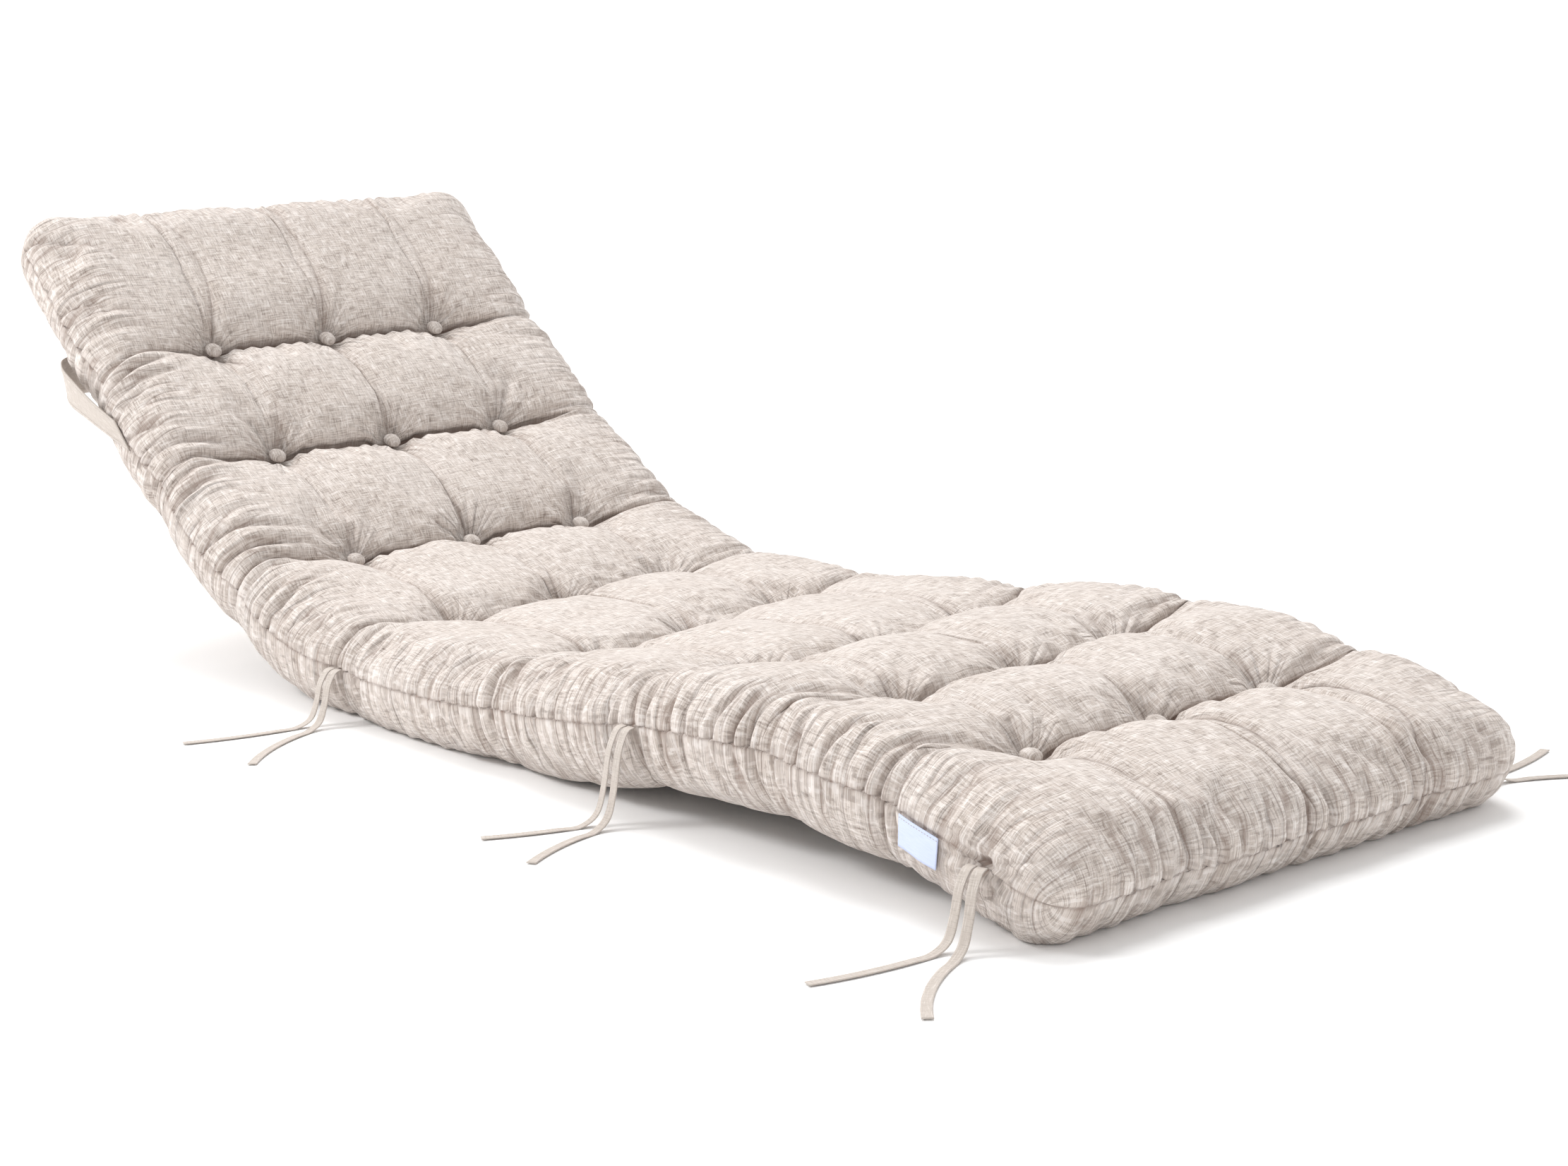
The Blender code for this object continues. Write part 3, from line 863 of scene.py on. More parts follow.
class GrowingTree:
    """A Geometry Nodes tree under construction, run once on a mesh and then baked."""

    def __init__(self, name: str, sizes: dict[str, float]) -> None:
        """Starts a tree with a geometry input and named number inputs.

        Args:
            name: The tree's name.
            sizes: The named inputs and the values that they are given.
        """
        self.tree = bpy.data.node_groups.new(name, "GeometryNodeTree")
        self.sizes = sizes
        face = self.tree.interface
        face.new_socket("Geometry", in_out="INPUT", socket_type="NodeSocketGeometry")
        for size in sizes:
            face.new_socket(size, in_out="INPUT", socket_type="NodeSocketFloat")
        face.new_socket("Geometry", in_out="OUTPUT", socket_type="NodeSocketGeometry")
        self.start = self.tree.nodes.new("NodeGroupInput")
        self.end = self.tree.nodes.new("NodeGroupOutput")

    def node(
        self, kind: str, settings: dict[str, object], inputs: dict[object, object]
    ) -> bpy.types.Node:
        """Makes a node, sets it and feeds it.

        Args:
            kind: The node's type.
            settings: Its own settings.
            inputs: Values or other nodes' sockets, by socket name or number.

        Returns:
            The node.
        """
        made = self.tree.nodes.new(kind)
        for name, setting in settings.items():
            setattr(made, name, setting)
        for name, given in inputs.items():
            if isinstance(given, bpy.types.NodeSocket):
                self.tree.links.new(given, made.inputs[name])
            else:
                made.inputs[name].default_value = given
        return made

    def number(self, operation: str, *given: bpy.types.NodeSocket | float) -> bpy.types.NodeSocket:
        """Returns the result of a Math node."""
        return self.node("ShaderNodeMath", {"operation": operation}, dict(enumerate(given))).outputs[0]

    def finish(self, last: bpy.types.NodeSocket, finish: bpy.types.Material) -> None:
        """Ends the tree in real geometry with its material.

        Args:
            last: The geometry to end with.
            finish: The material.
        """
        real = self.node("GeometryNodeRealizeInstances", {}, {0: last})
        smooth_faces = self.node("GeometryNodeSetShadeSmooth", {}, {0: real.outputs[0]})
        painted = self.node(
            "GeometryNodeSetMaterial", {}, {0: smooth_faces.outputs[0], "Material": finish}
        )
        self.tree.links.new(painted.outputs[0], self.end.inputs[0])

    def run(self, source: bpy.types.Mesh) -> bpy.types.Mesh:
        """Runs the tree once.

        Args:
            source: The mesh that it starts from.

        Returns:
            The plain mesh that it makes.
        """
        scratch = bpy.data.objects.new("scratch", source)
        bpy.context.scene.collection.objects.link(scratch)
        modifier = scratch.modifiers.new("grow", "NODES")
        modifier.node_group = self.tree
        for item in self.tree.interface.items_tree:
            if item.in_out == "INPUT" and item.name in self.sizes:
                modifier[item.identifier] = float(self.sizes[item.name])
        return settled(scratch)


@dataclass
class StitchRow:
    """A row of thread stitches along any number of lines."""

    pitch: float = 0.0042
    length: float = 0.0030
    thickness: float = 0.0007

    def build(self, lines: list[np.ndarray], finish: bpy.types.Material) -> bpy.types.Mesh:
        """Makes the stitches.

        Args:
            lines: The points that each row follows.
            finish: The thread's material.

        Returns:
            The stitches as one mesh.
        """
        grown = GrowingTree(
            "stitch_row",
            {"Pitch": self.pitch, "Length": self.length, "Thickness": self.thickness},
        )
        start = grown.start.outputs
        curve = grown.node("GeometryNodeMeshToCurve", {}, {0: start[0]})
        spaced = grown.node(
            "GeometryNodeResampleCurve",
            {"mode": "LENGTH"},
            {0: curve.outputs[0], "Length": start["Pitch"]},
        )
        tangent = grown.node("GeometryNodeInputTangent", {}, {})
        turned = grown.node(
            "FunctionNodeAlignRotationToVector", {"axis": "X"}, {"Vector": tangent.outputs[0]}
        )
        bead = grown.node(
            "GeometryNodeMeshUVSphere", {}, {"Segments": 6, "Rings": 4, "Radius": 0.5}
        )
        size = grown.node(
            "ShaderNodeCombineXYZ",
            {},
            {"X": start["Length"], "Y": start["Thickness"], "Z": start["Thickness"]},
        )
        placed = grown.node(
            "GeometryNodeInstanceOnPoints",
            {},
            {
                "Points": spaced.outputs[0],
                "Instance": bead.outputs[0],
                "Rotation": turned.outputs[0],
                "Scale": size.outputs[0],
            },
        )
        grown.finish(placed.outputs[0], finish)
        mesh = bpy.data.meshes.new("stitch_lines")
        points = np.concatenate(lines)
        edges = []
        first = 0
        for line in lines:
            edges += [(first + k, first + k + 1) for k in range(len(line) - 1)]
            first += len(line)
        mesh.from_pydata(points.tolist(), edges, [])
        return grown.run(mesh)


def mapped(mesh: bpy.types.Mesh, places: np.ndarray) -> None:
    """Gives a mesh its map on the cloth.

    Args:
        mesh: The mesh.
        places: The place on the cloth of each of its points, in metres.
    """
    layer = mesh.uv_layers.new(name="cloth")
    corners = np.empty(len(mesh.loops), np.int32)
    mesh.loops.foreach_get("vertex_index", corners)
    layer.data.foreach_set("uv", places[corners].astype(np.float32).ravel())


@dataclass
class Folds:
    """The small folds of the linen: pleats across the seam and stars round the tufts."""

    form: CushionForm
    pleat_spacing: float = 0.023
    pleat_depth: float = 0.0090
    back_share: float = 0.75
    pleat_width: float = 0.0034
    end_spacing: float = 0.024
    end_depth: float = 0.0125
    head_share: float = 0.45
    far_share: float = 0.55
    column_depth: float = 0.0044
    column_width: float = 0.0055
    row_depth: float = 0.0072
    row_width: float = 0.0028
    star_depth: float = 0.0036
    star_width: float = 0.0030
    gather_depth: float = 0.0055
    gather_cap: float = 0.0075
    tie_along: float = 1.705
    label_along: float = 1.636
    seam_margin: float = 0.035
    end_margin: float = 0.04
    side_pull: float = 0.055
    end_pull: float = 0.035
    label_clear: float = 0.034
    star_reach: float = 0.11
    gather_width: float = 0.0035
    gather_headings: tuple[float, ...] = (12.0, 38.0, 63.0, 88.0, 112.0, 140.0, 166.0)
    lump_count: int = 26
    lump_height: float = 0.0144
    rng: np.random.Generator = field(default_factory=lambda: np.random.default_rng(SEED))

    @staticmethod
    def valley(offset: np.ndarray, width: np.ndarray | float) -> np.ndarray:
        """Shapes a sharp valley with soft shoulders.

        Args:
            offset: Distances from its line.
            width: How wide it is.

        Returns:
            Its depth, 1 at the bottom.
        """
        sharp = np.exp(-np.abs(offset) / width)
        shoulder = np.exp(-((np.abs(offset) - 2.6 * width) ** 2) / (1.6 * width) ** 2)
        return sharp - 0.35 * shoulder

    def developed(self, inset: np.ndarray, crest: float) -> np.ndarray:
        """Measures over the rolled edge.

        Args:
            inset: Distances in plan from the outline.
            crest: The panel's crest height.

        Returns:
            Distances over the cloth from the seam.
        """
        quarter = (self.form.roll + crest) / 2
        inside = np.clip(inset / self.form.roll, 0, 1)
        return quarter * np.arccos(1 - inside) + np.maximum(inset - self.form.roll, 0)

    def pleat(
        self, station: np.ndarray, depth_in: np.ndarray, start: float, lean: float, reach: float
    ) -> np.ndarray:
        """Returns one pleat that starts at the seam and fades as it reaches inwards.

        Args:
            station: Distance along the seam of each place.
            depth_in: Distance over the surface from the seam.
            start: Where the pleat crosses the seam.
            lean: How far it has moved along the seam by its end.
            reach: How far inwards it goes.

        Returns:
            The pleat's depth at each place, 1 at its deepest.
        """
        share = depth_in / reach
        line = start + lean * share**1.4
        width = self.pleat_width * (0.75 + 0.8 * share)
        fade = 1 - smooth(share, 0.25, 1.0)
        return self.valley(station - line, width) * fade

    def side_pleats(self, along: np.ndarray, across: np.ndarray, side: Side, panel: Panel) -> np.ndarray:
        """Draws all the pleats along one side of one panel.

        Args:
            along: Distances along the cushion.
            across: Distances from the middle line.
            side: The long side.
            panel: The panel.

        Returns:
            Their depth in metres.
        """
        form = self.form
        crest = form.crest(panel)
        inset = form.width / 2 - side.value * across
        depth_in = self.developed(np.clip(inset, 0, 1), crest)
        column = form.columns[0] if side is Side.NEAR else form.columns[-1]
        tufts = [station for station, place in form.tufts() if place == column]
        lines = form.row_lines(np.array([side.value * form.width / 2]))[:, 0]
        total = np.zeros_like(along)
        start = self.seam_margin
        while start < form.length - self.seam_margin:
            nearest = int(np.argmin(np.abs(lines - start)))
            from_line = start - lines[nearest]
            close = math.exp(-((from_line / self.side_pull) ** 2))
            strength = self.pleat_depth * self.rng.uniform(0.25, 1.0) ** 1.5 * (0.75 + 0.5 * close)
            reach = self.rng.uniform(0.06, 0.15) + 0.05 * close
            if panel is Panel.BACK:
                strength *= self.back_share
                reach = self.rng.uniform(0.045, 0.090)
            if side is Side.NEAR:
                past_label = (start - self.label_along) / self.label_clear
                strength *= 1 - 0.85 * math.exp(-(past_label**2))
            elif panel is Panel.FACE:
                strength *= self.far_share
            lean = (tufts[nearest] - start) * min(reach / 0.19, 1.0) * 0.7
            lean += self.rng.uniform(-0.014, 0.014)
            near = np.abs(along - start) < 0.09
            total[near] += strength * self.pleat(along[near], depth_in[near], start, lean, reach)
            start += self.pleat_spacing * self.rng.uniform(0.35, 1.5) * (1.15 - 0.45 * close)
        return total * (depth_in < 0.2)

    def column_lines(self, along: np.ndarray, across: np.ndarray) -> tuple[np.ndarray, np.ndarray]:
        """Works out the bowed fold that joins the tufts of each column.

        Args:
            along: Distances along the cushion.
            across: Distances from the middle line.

        Returns:
            The offset from each column's fold, and how deep the fold is there, 0 to 1.
        """
        form = self.form
        rng = np.random.default_rng(SEED + 1)
        offsets, holds = [], []
        for place, column in enumerate(form.columns):
            tufts = [row.stations()[1 + place] for row in form.rows]
            stops = [0.0, *tufts, form.length]
            line = np.full_like(along, column)
            hold = np.zeros_like(along)
            for first, last in zip(stops[:-1], stops[1:]):
                share = (along - first) / (last - first)
                inside = (share >= 0) & (share <= 1)
                share = np.clip(share, 0, 1)
                ends = np.abs(2 * share - 1) ** 1.6
                middle = rng.uniform(0.0, 0.35)
                if first == 0.0:
                    ends = 0.25 + 0.75 * share**1.5
                if last == form.length:
                    ends = 0.55 + 0.45 * (1 - share) ** 1.5
                line = line + rng.uniform(0.004, 0.024) * np.sin(math.pi * share) * inside
                depth = (middle + (1 - middle) * ends) * rng.uniform(0.6, 1.1)
                hold = np.where(inside, depth, hold)
            offsets.append(across - line)
            holds.append(hold)
        return np.stack(offsets, axis=-1), np.stack(holds, axis=-1)

    def column_folds(self, along: np.ndarray, across: np.ndarray, panel: Panel) -> np.ndarray:
        """Draws the lengthwise folds that join the tufts of each column.

        Args:
            along: Distances along the cushion.
            across: Distances from the middle line.
            panel: The panel.

        Returns:
            Their depth in metres.
        """
        offsets, holds = self.column_lines(along, across)
        width = self.column_width * (1.4 - 0.6 * holds)
        total = self.column_depth * (holds * self.valley(offsets, width)).sum(axis=-1)
        return total if panel is Panel.FACE else total * 0.4

    def row_folds(self, along: np.ndarray, across: np.ndarray, panel: Panel) -> np.ndarray:
        """Draws the sharp line at the bottom of each crosswise crease.

        Args:
            along: Distances along the cushion.
            across: Distances from the middle line.
            panel: The panel.

        Returns:
            Its depth in metres.
        """
        total = np.zeros_like(along)
        hold = 1 - 0.85 * self.form.fading(along, across)
        for line in self.form.row_lines(across):
            total += hold * self.row_depth * np.exp(-np.abs(along - line) / self.row_width)
        return total if panel is Panel.FACE else total * 0.5

    def tie_gathers(self, along: np.ndarray, across: np.ndarray, panel: Panel) -> np.ndarray:
        """Draws the puckers round each tie's root at the foot corners.

        Args:
            along: Distances along the cushion.
            across: Distances from the middle line.
            panel: The panel.

        Returns:
            Their depth in metres.
        """
        form = self.form
        crest = form.crest(panel)
        total = np.zeros_like(along)
        for side in Side:
            inset = form.width / 2 - side.value * across
            depth_in = self.developed(np.clip(inset, 0, 1), crest)
            dx = along - self.tie_along
            away = np.hypot(dx, depth_in)
            for heading in np.radians(self.gather_headings):
                heading += self.rng.uniform(-0.12, 0.12)
                reach = self.rng.uniform(0.04, 0.085)
                offset = dx * math.sin(heading) - depth_in * math.cos(heading)
                onward = dx * math.cos(heading) + depth_in * math.sin(heading) > 0
                fade = 1 - smooth(away, 0.2 * reach, reach)
                total += self.gather_depth * self.valley(offset, self.gather_width) * fade * onward
        return self.gather_cap * np.tanh(total / self.gather_cap)

    def end_pleats(self, along: np.ndarray, across: np.ndarray, head: bool, panel: Panel) -> np.ndarray:
        """Draws the pleats along the head or the foot of one panel.

        Args:
            along: Distances along the cushion.
            across: Distances from the middle line.
            head: Whether it is the head.
            panel: The panel.

        Returns:
            Their depth in metres.
        """
        form = self.form
        crest = form.crest(panel)
        inset = along if head else form.length - along
        depth_in = self.developed(np.clip(inset, 0, 1), crest)
        total = np.zeros_like(along)
        start = -form.width / 2 + self.end_margin
        while start < form.width / 2 - self.end_margin:
            nearest = form.columns[int(np.argmin(np.abs(np.array(form.columns) - start)))]
            close = math.exp(-(((start - nearest) / self.end_pull) ** 2))
            strength = self.end_depth * self.rng.uniform(0.25, 1.0) ** 1.5 * (0.5 + 0.8 * close)
            reach = self.rng.uniform(0.05, 0.10) + 0.07 * close
            if panel is Panel.BACK:
                strength *= self.back_share
                reach = self.rng.uniform(0.045, 0.085)
            if head:
                strength *= self.head_share
            lean = (nearest - start) * 0.45 * reach / 0.12 + self.rng.uniform(-0.01, 0.01)
            total += strength * self.pleat(across, depth_in, start, lean, reach)
            start += self.end_spacing * self.rng.uniform(0.6, 1.4)
        return total * (depth_in < 0.15)

    def stars(self, along: np.ndarray, across: np.ndarray, panel: Panel) -> np.ndarray:
        """Draws the folds that run out from every tuft.

        Args:
            along: Distances along the cushion.
            across: Distances from the middle line.
            panel: The panel.

        Returns:
            Their depth in metres.
        """
        total = np.zeros_like(along)
        for station, column in self.form.tufts():
            dx, dy = along - station, across - column
            away = np.hypot(dx, dy)
            near = away < self.star_reach
            angle = np.arctan2(dy[near], dx[near])
            radius = away[near]
            count = int(self.rng.integers(8, 12))
            turn = self.rng.uniform(0, math.tau)
            found = np.zeros_like(radius)
            for k in range(count):
                heading = turn + math.tau * (k + self.rng.uniform(-0.3, 0.3)) / count
                bend = self.rng.uniform(-2.5, 2.5)
                reach = self.rng.uniform(0.045, 0.095)
                strength = self.star_depth * self.rng.uniform(0.25, 1.0)
                strength *= 0.45 + 0.55 * abs(math.cos(heading))
                swing = np.angle(np.exp(1j * (angle - heading - bend * radius)))
                offset = swing * radius
                fade = smooth(radius, 0.008, 0.022) * (1 - smooth(radius, 0.3 * reach, reach))
                facing = np.abs(swing) < 1.2
                width = self.star_width * (0.7 + 10 * radius)
                found += strength * self.valley(offset, width) * fade * facing
            total[near] += found
        return total if panel is Panel.FACE else total * 0.6

    def lumps(self, along: np.ndarray, across: np.ndarray) -> np.ndarray:
        """Draws the gentle unevenness of the filling.

        Args:
            along: Distances along the cushion.
            across: Distances from the middle line.

        Returns:
            Its height in metres.
        """
        total = np.zeros_like(along)
        for _ in range(self.lump_count):
            wave = self.rng.uniform(0.045, 0.13)
            heading = self.rng.uniform(0, math.pi)
            phase = self.rng.uniform(0, math.tau)
            reach = along * math.cos(heading) + across * math.sin(heading)
            total += np.sin(math.tau * reach / wave + phase) * wave
        return total * self.lump_height / math.sqrt(self.lump_count)


@dataclass
class Cushion:
    """The filled pad: two linen panels with crests, creases, tuft pits and pleats."""

    form: CushionForm
    roll_steps: int = 20
    side_steps: int = 22
    cell_steps: int = 36
    row_steps: int = 76
    end_steps: int = 34
    # seam_width, seam_shade, shade_depth and shade_cap shape the painted shade that the crease attribute
    # carries to the linen.
    seam_width: float = 0.0018
    seam_shade: float = 1.2
    seam_tuck: float = 0.0009
    groove_width: float = 0.005
    groove_depth: float = 0.0010
    calm: float = 0.30
    calm_width: float = 0.035
    shade_depth: float = 0.0060
    shade_cap: float = 1.7
    back_drop: float = 0.004
    simulation_stride: int = 2
    simulation_frames: int = 20
    cap: float = 0.009

    @staticmethod
    def eased(count: int) -> np.ndarray:
        """Returns stations from 0 to 1, closer together at both ends."""
        even = np.linspace(0, 1, count + 1)
        return 0.5 * even + 0.25 * (1 - np.cos(np.pi * even))

    @staticmethod
    def roll_stations(count: int) -> np.ndarray:
        """Returns stations from 0 at a seam to 1 on the crest, with two more beside the seam."""
        turn = np.concatenate(([0.0, 0.022, 0.05], np.linspace(0.0, math.pi / 2, count - 1)[1:]))
        return 1 - np.cos(turn)

    @staticmethod
    def crease_stations(count: int) -> np.ndarray:
        """Returns stations from 0 on a crest to 1 at a crease, closer together at the crease."""
        even = np.linspace(0, 1, count + 1)
        return 0.5 * even + 0.5 * np.sin(np.pi / 2 * even)

    def plan(self) -> tuple[np.ndarray, np.ndarray]:
        """Lays out the grid of one panel, with lines along every crease.

        Returns:
            The distances along and across of each point.
        """
        form = self.form
        half = list(-form.width / 2 + form.roll * self.roll_stations(self.roll_steps))
        inner = form.columns[0] - half[-1]
        half += list(half[-1] + inner * self.crease_stations(self.side_steps)[1:])
        spacing = form.columns[1] - form.columns[0]
        half += list(form.columns[0] + spacing * self.eased(self.cell_steps)[1:])
        across = np.array(half + [-value for value in reversed(half[:-1])])
        lines = [np.zeros_like(across), np.full_like(across, form.roll)]
        lines += list(form.row_lines(across))
        lines += [np.full_like(across, form.length - form.roll), np.full_like(across, form.length)]
        along = [(0, s) for s in self.roll_stations(self.roll_steps)]
        along += [(1, s) for s in self.crease_stations(self.end_steps)[1:]]
        for cell in range(len(form.rows) - 1):
            along += [(2 + cell, s) for s in self.eased(self.row_steps)[1:]]
        last = len(form.rows) + 1
        along += [(last, 1 - s) for s in self.crease_stations(self.end_steps)[::-1][1:]]
        along += [(last + 1, 1 - s) for s in self.roll_stations(self.roll_steps)[::-1][1:]]
        plan = np.array([lines[k] + (lines[k + 1] - lines[k]) * share for k, share in along])
        return plan, np.broadcast_to(across, plan.shape).copy()

    @staticmethod
    def normals(points: np.ndarray, panel: Panel) -> np.ndarray:
        """Finds which way a panel faces.

        Args:
            points: The points of its grid.
            panel: The panel.

        Returns:
            The outward unit normal at each point.
        """
        down = np.gradient(points, axis=0)
        over = np.gradient(points, axis=1)
        normal = np.cross(down, over) * panel.value
        return normal / np.maximum(np.linalg.norm(normal, axis=-1, keepdims=True), 1e-12)

    @staticmethod
    def faces(index: np.ndarray, panel: Panel) -> np.ndarray:
        """Joins a grid's points.

        Args:
            index: The point numbers of the grid.
            panel: The panel.

        Returns:
            The quads, facing outwards.
        """
        corner = index[:-1, :-1], index[1:, :-1], index[1:, 1:], index[:-1, 1:]
        quads = np.stack([c.ravel() for c in corner], axis=1)
        return quads if panel is Panel.FACE else quads[:, ::-1]

    def sewn(
        self, panels: dict[Panel, np.ndarray]
    ) -> tuple[np.ndarray, np.ndarray, dict[Panel, np.ndarray]]:
        """Joins the two grids along their outline.

        Args:
            panels: Each panel's points, by row and column.

        Returns:
            The points, the quads, and each panel's grid of point numbers.
        """
        shape = panels[Panel.FACE].shape[:2]
        index = {Panel.FACE: np.arange(shape[0] * shape[1]).reshape(shape)}
        inner = np.ones(shape, bool)
        inner[0], inner[-1], inner[:, 0], inner[:, -1] = False, False, False, False
        back = index[Panel.FACE].copy()
        back[inner] = shape[0] * shape[1] + np.arange(inner.sum())
        index[Panel.BACK] = back
        points = np.concatenate([panels[Panel.FACE].reshape(-1, 3), panels[Panel.BACK][inner]])
        quads = np.concatenate([self.faces(index[panel], panel) for panel in Panel])
        return points, quads, index

    def simulated(
        self, panels: dict[Panel, np.ndarray], crease: dict[Panel, np.ndarray]
    ) -> dict[Panel, np.ndarray]:
        """Lets the linen settle over its filling, held at the seam, the creases and the tufts.

        Args:
            panels: Each panel's points, on a coarse grid.
            crease: How firmly each of those points is held, 0 to 1.

        Returns:
            How far each point moved.
        """
        points, quads, index = self.sewn(panels)
        mesh = bpy.data.meshes.new("settling")
        mesh.from_pydata(points.tolist(), [], quads.tolist())
        made = bpy.data.objects.new("settling", mesh)
        bpy.context.scene.collection.objects.link(made)
        held = made.vertex_groups.new(name="held")
        grip = np.zeros(len(points))
        for panel in Panel:
            numbers = index[panel].ravel()
            grip[numbers] = np.maximum(grip[numbers], crease[panel].ravel())
        for level in np.unique(np.round(grip, 1)):
            chosen = np.nonzero(np.round(grip, 1) == level)[0]
            held.add(chosen.tolist(), float(level), "REPLACE")
        cloth = made.modifiers.new("linen", "CLOTH")
        settings = cloth.settings
        settings.quality = 5
        settings.mass = 0.25
        settings.tension_stiffness = 20
        settings.compression_stiffness = 20
        settings.shear_stiffness = 8
        settings.bending_stiffness = 0.35
        settings.vertex_group_mass = "held"
        settings.pin_stiffness = 1.0
        settings.shrink_min = -0.05
        settings.use_pressure = True
        settings.uniform_pressure_force = 4.0
        settings.effector_weights.gravity = 0.0
        cloth.collision_settings.use_collision = False
        scene = bpy.context.scene
        for frame in range(1, self.simulation_frames + 1):
            scene.frame_set(frame)
        graph = bpy.context.evaluated_depsgraph_get()
        moved = np.empty(len(points) * 3, np.float32)
        made.evaluated_get(graph).data.vertices.foreach_get("co", moved)
        shift = moved.reshape(-1, 3) - points
        length = np.linalg.norm(shift, axis=1, keepdims=True)
        shift *= self.cap * np.tanh(length / self.cap) / np.maximum(length, 1e-9)
        bpy.data.objects.remove(made, do_unlink=True)
        scene.frame_set(1)
        LOG.info("linen settled: mean move %.1f mm", 1000 * float(length.mean()))
        return {panel: shift[index[panel]] for panel in Panel}

    @staticmethod
    def resized(grid: np.ndarray, wanted: np.ndarray) -> np.ndarray:
        """Reads a grid at fractional rows.

        Args:
            grid: The values, a row for each whole number.
            wanted: The fractional rows.

        Returns:
            The values there.
        """
        base = np.clip(np.floor(wanted).astype(int), 0, len(grid) - 2)
        share = (wanted - base).reshape(-1, 1, 1)
        before = grid[np.maximum(base - 1, 0)]
        after = grid[np.minimum(base + 2, len(grid) - 1)]
        return between(before, grid[base], grid[base + 1], after, share)

    def refined(self, values: np.ndarray, rows: np.ndarray, columns: np.ndarray) -> np.ndarray:
        """Reads a coarse grid smoothly at finer places.

        Args:
            values: The coarse values.
            rows: Fractional rows.
            columns: Fractional columns.

        Returns:
            The values there.
        """
        halfway = self.resized(values, rows)
        return self.resized(halfway.swapaxes(0, 1), columns).swapaxes(0, 1)

    def build(self, linen: bpy.types.Material) -> bpy.types.Object:
        """Makes the cushion and dresses it.

        Args:
            linen: The cover's material.

        Returns:
            The cushion.
        """
        form = self.form
        along, across = self.plan()
        folds = Folds(form)
        base = {panel: form.surface(along, across, panel) for panel in Panel}
        settled_by = {panel: np.zeros_like(base[panel]) for panel in Panel}
        settled_by = self.settle(along, across)
        panels: dict[Panel, np.ndarray] = {}
        shade: dict[Panel, np.ndarray] = {}
        inset = form.inset(along, across)
        groove = np.exp(-np.sqrt(np.maximum(inset, 0)) / self.groove_width) * self.groove_depth
        calm = self.calm + (1 - self.calm) * smooth(inset, 0.0, self.calm_width)
        over = folds.developed(np.clip(inset, 0, 1), form.crest_face)
        # A thin line of painted shade along the seam groove.
        seam_line = np.exp(-((over / self.seam_width) ** 2))
        for panel in Panel:
            depth = self.fold_depth(folds, along, across, panel)
            normal = self.normals(base[panel], panel)
            rise = folds.lumps(along, across) * smooth(inset, 0.0, 0.03)
            rise = rise * (1.0 if panel is Panel.FACE else 0.5)
            shift = (rise - depth - groove)[..., None] * normal
            shift[0], shift[-1], shift[:, 0], shift[:, -1] = 0, 0, 0, 0
            points = base[panel] + settled_by[panel] * calm[..., None] + shift
            points[..., 2] = np.maximum(points[..., 2], 0.0)
            panels[panel] = points
            # Painted shade: deeper folds and the seam line darken the linen's colour.
            shade[panel] = np.clip(
                np.maximum(depth / self.shade_depth, self.seam_shade * seam_line), 0, self.shade_cap
            )
        rim = np.zeros(along.shape, bool)
        rim[0], rim[-1], rim[:, 0], rim[:, -1] = True, True, True, True
        inward = 0.5 * (
            self.normals(base[Panel.FACE], Panel.FACE) + self.normals(base[Panel.BACK], Panel.BACK)
        )
        panels[Panel.FACE][rim] -= self.seam_tuck * inward[rim]
        panels[Panel.BACK][rim] = panels[Panel.FACE][rim]
        points, quads, index = self.sewn(panels)
        mesh = bpy.data.meshes.new("linen_cushion")
        mesh.from_pydata(points.tolist(), [], quads.tolist())
        place = np.zeros((len(points), 2))
        crease = np.zeros(len(points))
        for panel in (Panel.BACK, Panel.FACE):
            drop = 0.0 if panel is Panel.FACE else self.back_drop
            place[index[panel].ravel()] = np.stack([across + drop, along], axis=-1).reshape(-1, 2)
            crease[index[panel].ravel()] = shade[panel].ravel()
        mapped(mesh, place)
        # The crease attribute carries the painted shade to the linen's colour.
        self.carry(mesh, "crease", crease)
        for name, values in self.wrinkle_guides(folds, along, across).items():
            spread = np.zeros((len(points), *values.shape[2:]))
            for panel in (Panel.BACK, Panel.FACE):
                spread[index[panel].ravel()] = values.reshape(-1, *values.shape[2:])
            self.carry(mesh, name, spread)
        made = dressed("linen_cushion", mesh, linen)
        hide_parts("cushion")
        LOG.info("linen cushion: %d points, %d faces", len(points), len(quads))
        return made

    @staticmethod
    def carry(mesh: bpy.types.Mesh, name: str, values: np.ndarray) -> None:
        """Stores a number or a vector for each of a mesh's points.

        Args:
            mesh: The mesh.
            name: The attribute's name.
            values: The values, one for each point.
        """
        kind, field_name = ("FLOAT", "value") if values.ndim == 1 else ("FLOAT_VECTOR", "vector")
        layer = mesh.attributes.new(name, kind, "POINT")
        layer.data.foreach_set(field_name, values.astype(np.float32).ravel())

